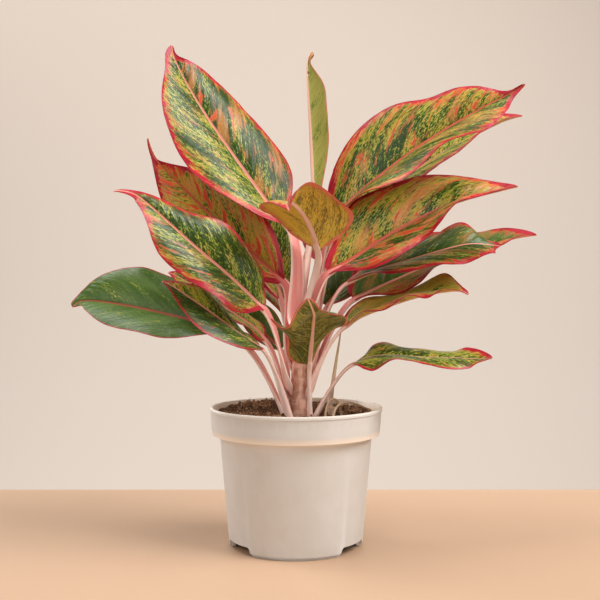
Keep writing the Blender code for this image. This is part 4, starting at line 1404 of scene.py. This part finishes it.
def strand_material(name, first, second, fade):
    graph = Graph(name)
    length, x, y = graph.attribute("stalk")
    grain = graph.noise((length * 0.12, x * 3.0, y * 3.0), detail=4.0, roughness=0.65)
    place = (length / fade + grain.swing(0.8)).step(0.0, 1.0)
    colour = graph.blend(place, first, second)
    return graph.finish(colour, 0.45 + grain * 0.3, graph.bump(grain, STEM_GRAIN))


def mix_material():
    look = bpy.context.scene.evergreen_mix
    graph = Graph("potting mix")
    x, y, z = graph.position()
    lumps = graph.noise((x * 0.22, y * 0.22, z * 0.22), detail=4.0, roughness=0.7)
    grit = graph.noise((x * 1.4, y * 1.4, z * 1.4), detail=4.0, roughness=0.75)
    drier = (lumps * 0.5 + grit * 0.5).step(0.42, 0.66)
    colour = graph.coats(look.dark, (drier, look.brown), (grit.step(0.62, 0.72) * 0.6, look.tan))
    normal = graph.bump(grit + lumps, MIX_GRAIN)
    return graph.finish(colour, 0.86 + grit * 0.12, normal, Specular_IOR_Level=0.15)


def grain_material(name, first, second, third):
    """Crumbs or fibres, each piece in its own shade."""
    graph = Graph(name)
    shade, _, _ = graph.attribute("grain")
    x, y, z = graph.position()
    rough = graph.noise((x * 1.8, y * 1.8, z * 1.8), detail=3.0, roughness=0.7)
    lighter = (shade + rough.swing(0.5)).step(0.15, 0.75)
    colour = graph.coats(first, (lighter, second), (shade.step(0.86, 0.97), third))
    return graph.finish(colour, 0.8 + rough * 0.15, graph.bump(rough, CRUMB_GRAIN), Specular_IOR_Level=0.2)


def pot_material():
    look = bpy.context.scene.evergreen_pot
    graph = Graph("pot plastic")
    x, y, z = graph.position()
    cloud = graph.noise((x * 0.05, y * 0.05, z * 0.035), detail=3.0, roughness=0.55)
    fine = graph.noise((x * 0.9, y * 0.9, z * 0.9), detail=3.0, roughness=0.6)
    drawn = graph.noise((x * 0.35, y * 0.35, z * 0.02), detail=2.0)
    scuff = graph.noise((x * 0.3, y * 0.3, z * 2.6), detail=4.0, roughness=0.7)
    radius = (x * x + y * y).power(0.5)
    dust = z.fade(*DUST_TOP) * cloud.step(0.40, 0.6)
    damp = z.step(*DAMP_FOOT) * z.fade(*DAMP_TOP) * drawn.step(0.35, 0.6)
    # Painted light: the inner wall below the rim is painted much lighter and warmer than the plastic,
    # standing in for light on it.
    inside = radius.fade(*INSIDE_END) * z.step(*INSIDE_FOOT)
    # Painted highlight: pale lines on the lip's top and on the band's lower edge, where these edges catch the
    # light.
    band_highlight = z.step(*BAND_HIGHLIGHT_FOOT) * z.fade(*BAND_HIGHLIGHT_TOP) * radius.step(*BAND_HIGHLIGHT_START)
    highlight_edges = (z.step(*LIP_HIGHLIGHT) + band_highlight * 0.7).least(1.0)
    colour = graph.coats(
        look.colour,
        (cloud.step(0.36, 0.64), look.colour_worn),
        (fine.step(0.56, 0.72) * 0.05, look.speck),
        (dust * 0.16, look.dust),
        (damp * 0.10, look.dust),
        (inside * 0.8, look.inside),
        (highlight_edges * 0.7, look.painted_edge_highlight),
    )
    roughness = 0.36 + cloud * 0.12 + scuff.step(0.55, 0.7) * 0.10
    return graph.finish(colour, roughness, graph.bump(fine * 0.5 + drawn * 0.6, POT_GRAIN))


def plain_material(name, colour, roughness):
    return Graph(name).finish(colour, roughness)


# Settings


def length_of(name, description, value):
    return FloatProperty(name=name, description=description, default=value * MM, unit="LENGTH", min=0.0)


def colour_of(name, description, value):
    return FloatVectorProperty(
        name=name, description=description, default=value, subtype="COLOR", min=0.0, max=1.0
    )


def power_of(name, description, value):
    return FloatProperty(name=name, description=description, default=value, min=0.0)


class EvergreenLeaf(bpy.types.PropertyGroup):
    thickness: length_of("Thickness", "Thickness of a blade between its veins", 0.6)
    margin: length_of("Margin", "Usual width of the red margin", 2.6)
    vein_spacing: length_of("Vein spacing", "Distance between side veins along the midrib", 9.5)
    pleat_height: length_of("Pleat height", "How far the blade swells between side veins", 0.55)
    ruffle: length_of("Ruffle", "Height of the small ruffles of the margin", 0.5)
    steps: IntProperty(name="Steps", description="Faces along a blade", default=110, min=20, max=200)
    columns: IntProperty(name="Columns", description="Faces across a blade", default=36, min=8, max=60)
    ground_yellow: colour_of("Yellow ground", "Olive-gold ground of the upper side", (0.500, 0.305, 0.030))
    ground_green: colour_of("Green ground", "Yellow-green ground", (0.310, 0.290, 0.030))
    pale: colour_of("Pale streaks", "Palest streaks of the upper side", (0.470, 0.390, 0.130))
    bronze: colour_of("Bronze", "Ground of the bronze leaves", (0.460, 0.270, 0.033))
    dark_green: colour_of("Dark green", "Darkest strokes", (0.021, 0.047, 0.0050))
    deep_green: colour_of("Deep green", "Green of the dark leaves", (0.046, 0.102, 0.013))
    # Painted sheen: lighter clouds on the dark leaves that stand in for their gloss.
    painted_sheen_green: colour_of("Soft green", "Lighter clouds of the dark leaves", (0.085, 0.150, 0.034))
    mid_green: colour_of("Mid green", "Lighter strokes", (0.150, 0.225, 0.024))
    peach: colour_of("Peach", "Soft warm clouds round the flush", (0.600, 0.240, 0.075))
    vein_red: colour_of("Red veins", "Side veins of the bronze halves", (0.50, 0.050, 0.026))
    flush: colour_of("Flush", "Orange-red bands and stipples", (0.620, 0.065, 0.026))
    margin_colour: colour_of("Margin", "Darker margin colour", (0.330, 0.0095, 0.021))
    margin_light: colour_of("Margin light", "Lighter margin colour", (0.440, 0.020, 0.034))
    rim_line: colour_of("Rim line", "Thin dark line at the very edge", (0.26, 0.020, 0.030))
    midrib: colour_of("Midrib", "Midrib of the red leaves", (0.560, 0.125, 0.080))
    midrib_pale: colour_of("Pale midrib", "Midrib of the streaked leaves on the left", (0.66, 0.27, 0.20))
    midrib_dull: colour_of("Dull midrib", "Midrib of the dark leaves", (0.38, 0.11, 0.06))
    under_olive: colour_of("Underside olive", "Ground of the underside", (0.270, 0.265, 0.045))
    under_yellow: colour_of("Underside gold", "Ground of the golden undersides", (0.880, 0.620, 0.090))
    under_fresh: colour_of("Fresh underside", "Ground of the young leaf's outside", (0.400, 0.390, 0.085))
    under_dark: colour_of("Underside dark", "Dark network of the underside", (0.065, 0.085, 0.016))
    under_brown: colour_of("Underside brown", "Dark network of the golden undersides", (0.205, 0.140, 0.028))
    under_vein: colour_of("Underside veins", "Side veins of the underside", (0.800, 0.660, 0.240))
    under_rib: colour_of("Underside midrib", "Keel of the underside", (0.880, 0.520, 0.400))
    under_margin: colour_of("Underside margin", "Margin of the underside", (0.800, 0.200, 0.130))


class EvergreenStem(bpy.types.PropertyGroup):
    pale_pink: colour_of("Pale pink", "Petioles", (0.960, 0.640, 0.545))
    cream: colour_of("Cream", "Lighter clouds of the petioles", (0.970, 0.755, 0.640))
    inner_pink: colour_of("Inner pink", "Inner side of the petioles", (0.720, 0.170, 0.150))
    cane_pink: colour_of("Cane pink", "Smooth bark", (0.680, 0.385, 0.275))
    cane_brown: colour_of("Cane brown", "Corky bark", (0.340, 0.140, 0.070))
    cane_pale: colour_of("Cane scar", "Leaf scars", (0.68, 0.48, 0.38))
    shoot: colour_of("Shoot", "Rolled young leaf", (0.950, 0.730, 0.610))
    shoot_tip: colour_of("Shoot tip", "Greener clouds of the young leaf", (0.700, 0.570, 0.330))
    root: colour_of("Root", "Aerial roots", (0.800, 0.570, 0.380))
    root_dark: colour_of("Root dark", "Darker skin of the roots", (0.500, 0.300, 0.160))


class EvergreenMix(bpy.types.PropertyGroup):
    crumbs: IntProperty(name="Crumbs", description="Small lumps on the mix", default=1500, min=0, max=4000)
    chips: IntProperty(name="Chips", description="Larger chips on the mix", default=170, min=0, max=1000)
    fibres: IntProperty(name="Fibres", description="Coir fibres on the mix", default=420, min=0, max=2000)
    dark: colour_of("Dark", "Moist peat", (0.075, 0.036, 0.019))
    brown: colour_of("Brown", "Drier peat", (0.360, 0.180, 0.090))
    tan: colour_of("Tan", "Light bits and fibres", (0.660, 0.420, 0.240))


class EvergreenPot(bpy.types.PropertyGroup):
    colour: colour_of("Colour", "Plastic of the pot", (0.655, 0.635, 0.605))
    colour_worn: colour_of("Worn colour", "Duller clouds of the plastic", (0.630, 0.608, 0.570))
    speck: colour_of("Specks", "Fine darker specks", (0.40, 0.34, 0.28))
    # Painted light: lighter, warmer colour of the inner wall, standing in for light on it.
    inside: colour_of("Inside", "Inner wall, warmed by the mix", (0.970, 0.800, 0.620))
    # Painted highlight: the pale lines on the lip's top and the band's lower edge stand for light catching
    # these edges.
    painted_edge_highlight: colour_of("Pale edges", "Worn corners of the lip and the band", (0.930, 0.860, 0.760))
    dust: colour_of("Dust", "Traces of water and mix", (0.42, 0.32, 0.24))


class EvergreenStage(bpy.types.PropertyGroup):
    floor: colour_of("Floor", "Plain floor", (0.480, 0.312, 0.201))
    wall: colour_of("Wall", "Plain wall", (0.725, 0.625, 0.540))
    key_power: power_of("Key light", "Watts of the main soft light", 17.8)
    top_power: power_of("Top light", "Watts of the light overhead", 4.5)
    side_power: power_of("Side light", "Watts of the light from the far left", 1.3)
    fill_power: power_of("Fill light", "Watts of the light from the front", 20.0)
    wall_power: power_of("Wall light", "Watts of each light on the wall", 8.0)
    world_power: power_of("Ambient", "Strength of the even light", 0.14)


# Operators


class EVERGREEN_OT_pot(bpy.types.Operator):
    """Builds the nursery pot"""

    bl_idname = "evergreen.pot"
    bl_label = "Pot"

    def execute(self, context):
        make_pot(pot_material())
        return {"FINISHED"}


class EVERGREEN_OT_mix(bpy.types.Operator):
    """Builds the potting mix with its crumbs, chips and fibres"""

    bl_idname = "evergreen.mix"
    bl_label = "Potting mix"

    def execute(self, context):
        look = context.scene.evergreen_mix
        make_mix(mix_material())
        crumb = grain_material("mix crumbs", look.dark, look.brown, look.tan)
        chip = grain_material("bark chips", look.dark, look.brown, look.brown)
        fibre = grain_material("coir fibres", look.brown, look.tan, look.tan)
        make_crumbs("mix_crumbs", look.crumbs, CRUMB_SIZES, CRUMB_SLIMNESS, crumb, seed=3)
        make_crumbs("bark_chips", look.chips, CHIP_SIZES, CHIP_SLIMNESS, chip, seed=4)
        make_fibres("coir_fibres", look.fibres, fibre, seed=5)
        return {"FINISHED"}


class EVERGREEN_OT_stems(bpy.types.Operator):
    """Builds the cane, the rolled shoot, the roots and the old stub"""

    bl_idname = "evergreen.stems"
    bl_label = "Cane and roots"

    def execute(self, context):
        look = context.scene.evergreen_stem
        make_cane(cane_material())
        skins = {
            "shoot": strand_material("rolled shoot", look.shoot, look.shoot_tip, SHOOT_FADE),
            "root": strand_material("root skin", look.root, look.root_dark, ROOT_FADE),
        }
        for seed, strand in enumerate(STRANDS):
            make_strand(strand, seed * 5.0, skins[strand.slot])
        return {"FINISHED"}


class EVERGREEN_OT_leaves(bpy.types.Operator):
    """Builds every leaf: its blade and its petiole"""

    bl_idname = "evergreen.leaves"
    bl_label = "Leaves"

    def execute(self, context):
        materials = [leaf_upper_material(), leaf_under_material()]
        stalk = petiole_material()
        for seed, leaf in enumerate(LEAVES, start=1):
            make_blade(leaf, seed, materials)
            make_petiole(leaf, seed, stalk)
        return {"FINISHED"}


# Stage, metres: corners of the floor and the wall, the camera, and the soft lights, each with the setting
# that holds its watts and its share of them.
FLOOR_BOX = ((-2.5, -2.5, -0.02), (2.5, 0.205, 0.0))
WALL_BOX = ((-2.5, 1.20, -1.5), (2.5, 1.25, 2.5))
FLOOR_ROUGHNESS = 0.55
WALL_ROUGHNESS = 0.9
CAMERA_PLACE = (0.0031, -0.755, 0.192)
CAMERA_TURN = (89.43, 0.0, 0.0)
CAMERA_LENS = 60.0
CAMERA_SENSOR = 36.0
AMBIENT_COLOUR = (0.96, 0.98, 1.0, 1.0)
LIGHT_COLOUR = (1.0, 0.985, 0.97)
Light = namedtuple("Light", "name place target size setting share spread")
LIGHTS = (
    Light("key", (1.08, -0.44, 1.34), (0.0, 0.0, 0.18), (1.1, 1.1), "key_power", 1.0, 120.0),
    Light("top", (-0.45, -0.15, 1.6), (0.0, 0.0, 0.2), (0.7, 0.7), "top_power", 1.0, 100.0),
    Light("side", (-0.95, 0.60, 0.45), (0.0, 0.0, 0.15), (0.5, 0.8), "side_power", 1.0, 70.0),
    Light("fill", (-0.5, -2.3, 0.9), (0.0, 0.0, 0.2), (1.8, 1.8), "fill_power", 1.0, 180.0),
    Light("wall_high", (-0.45, 0.45, 1.15), (-0.05, 1.25, 0.45), (2.4, 0.4), "wall_power", 0.88, 180.0),
    Light("wall_low", (-0.05, 0.57, -0.7), (0.0, 1.25, -0.1), (2.4, 0.4), "wall_power", 1.0, 180.0),
)


def add_light(row, power):
    light = bpy.data.lights.new(row.name, "AREA")
    light.shape = "RECTANGLE"
    light.size, light.size_y = row.size
    light.energy = power
    light.color = LIGHT_COLOUR
    light.spread = math.radians(row.spread)
    made = bpy.data.objects.new(row.name, light)
    made.location = row.place
    made.rotation_euler = (Vector(row.target) - Vector(row.place)).to_track_quat("-Z", "Y").to_euler()
    bpy.context.scene.collection.objects.link(made)


def add_board(name, low, high, material):
    """A flat box of the stage."""
    bm = bmesh.new()
    bmesh.ops.create_cube(bm, size=1.0)
    size = Vector(high) - Vector(low)
    bmesh.ops.scale(bm, vec=size, verts=bm.verts)
    bmesh.ops.translate(bm, vec=Vector(low) + size / 2, verts=bm.verts)
    made = make_object(name, bm, [material])


class EVERGREEN_OT_stage(bpy.types.Operator):
    """Adds the floor, the wall, the soft light and the camera"""

    bl_idname = "evergreen.stage"
    bl_label = "Stage"

    def execute(self, context):
        scene = context.scene
        look = scene.evergreen_stage
        add_board("floor", *FLOOR_BOX, plain_material("floor", look.floor, FLOOR_ROUGHNESS))
        add_board("wall", *WALL_BOX, plain_material("wall", look.wall, WALL_ROUGHNESS))
        for row in LIGHTS:
            add_light(row, getattr(look, row.setting) * row.share)
        world = bpy.data.worlds.new("studio")
        world.use_nodes = True
        background = world.node_tree.nodes["Background"]
        background.inputs["Color"].default_value = AMBIENT_COLOUR
        background.inputs["Strength"].default_value = look.world_power
        scene.world = world
        scene.view_settings.view_transform = "Standard"
        camera = bpy.data.cameras.new("camera")
        camera.lens = CAMERA_LENS
        camera.sensor_width = CAMERA_SENSOR
        made = bpy.data.objects.new("camera", camera)
        made.location = CAMERA_PLACE
        made.rotation_euler = Euler([math.radians(turn) for turn in CAMERA_TURN])
        scene.collection.objects.link(made)
        scene.camera = made
        return {"FINISHED"}


class EVERGREEN_PT_panel(bpy.types.Panel):
    """Lists the pieces and their settings"""

    bl_idname = "EVERGREEN_PT_panel"
    bl_label = "Potted evergreen"
    bl_space_type = "VIEW_3D"
    bl_region_type = "UI"
    bl_category = "Evergreen"

    def draw(self, context):
        layout = self.layout
        for operator, group, attribute in PIECES:
            layout.operator(operator.bl_idname)
            for name in group.__annotations__:
                layout.prop(getattr(context.scene, attribute), name)


# Each operator with the settings that it reads. They are called in this order.
PIECES = (
    (EVERGREEN_OT_pot, EvergreenPot, "evergreen_pot"),
    (EVERGREEN_OT_mix, EvergreenMix, "evergreen_mix"),
    (EVERGREEN_OT_stems, EvergreenStem, "evergreen_stem"),
    (EVERGREEN_OT_leaves, EvergreenLeaf, "evergreen_leaf"),
    (EVERGREEN_OT_stage, EvergreenStage, "evergreen_stage"),
)


def register():
    for operator, group, name in PIECES:
        bpy.utils.register_class(group)
        setattr(bpy.types.Scene, name, PointerProperty(type=group))
        bpy.utils.register_class(operator)
    bpy.utils.register_class(EVERGREEN_PT_panel)


def unregister():
    bpy.utils.unregister_class(EVERGREEN_PT_panel)
    for operator, group, name in reversed(PIECES):
        bpy.utils.unregister_class(operator)
        delattr(bpy.types.Scene, name)
        bpy.utils.unregister_class(group)


def main():
    register()
    bpy.ops.evergreen.pot()
    bpy.ops.evergreen.mix()
    bpy.ops.evergreen.stems()
    bpy.ops.evergreen.leaves()
    bpy.ops.evergreen.stage()


if __name__ == "__main__":
    main()
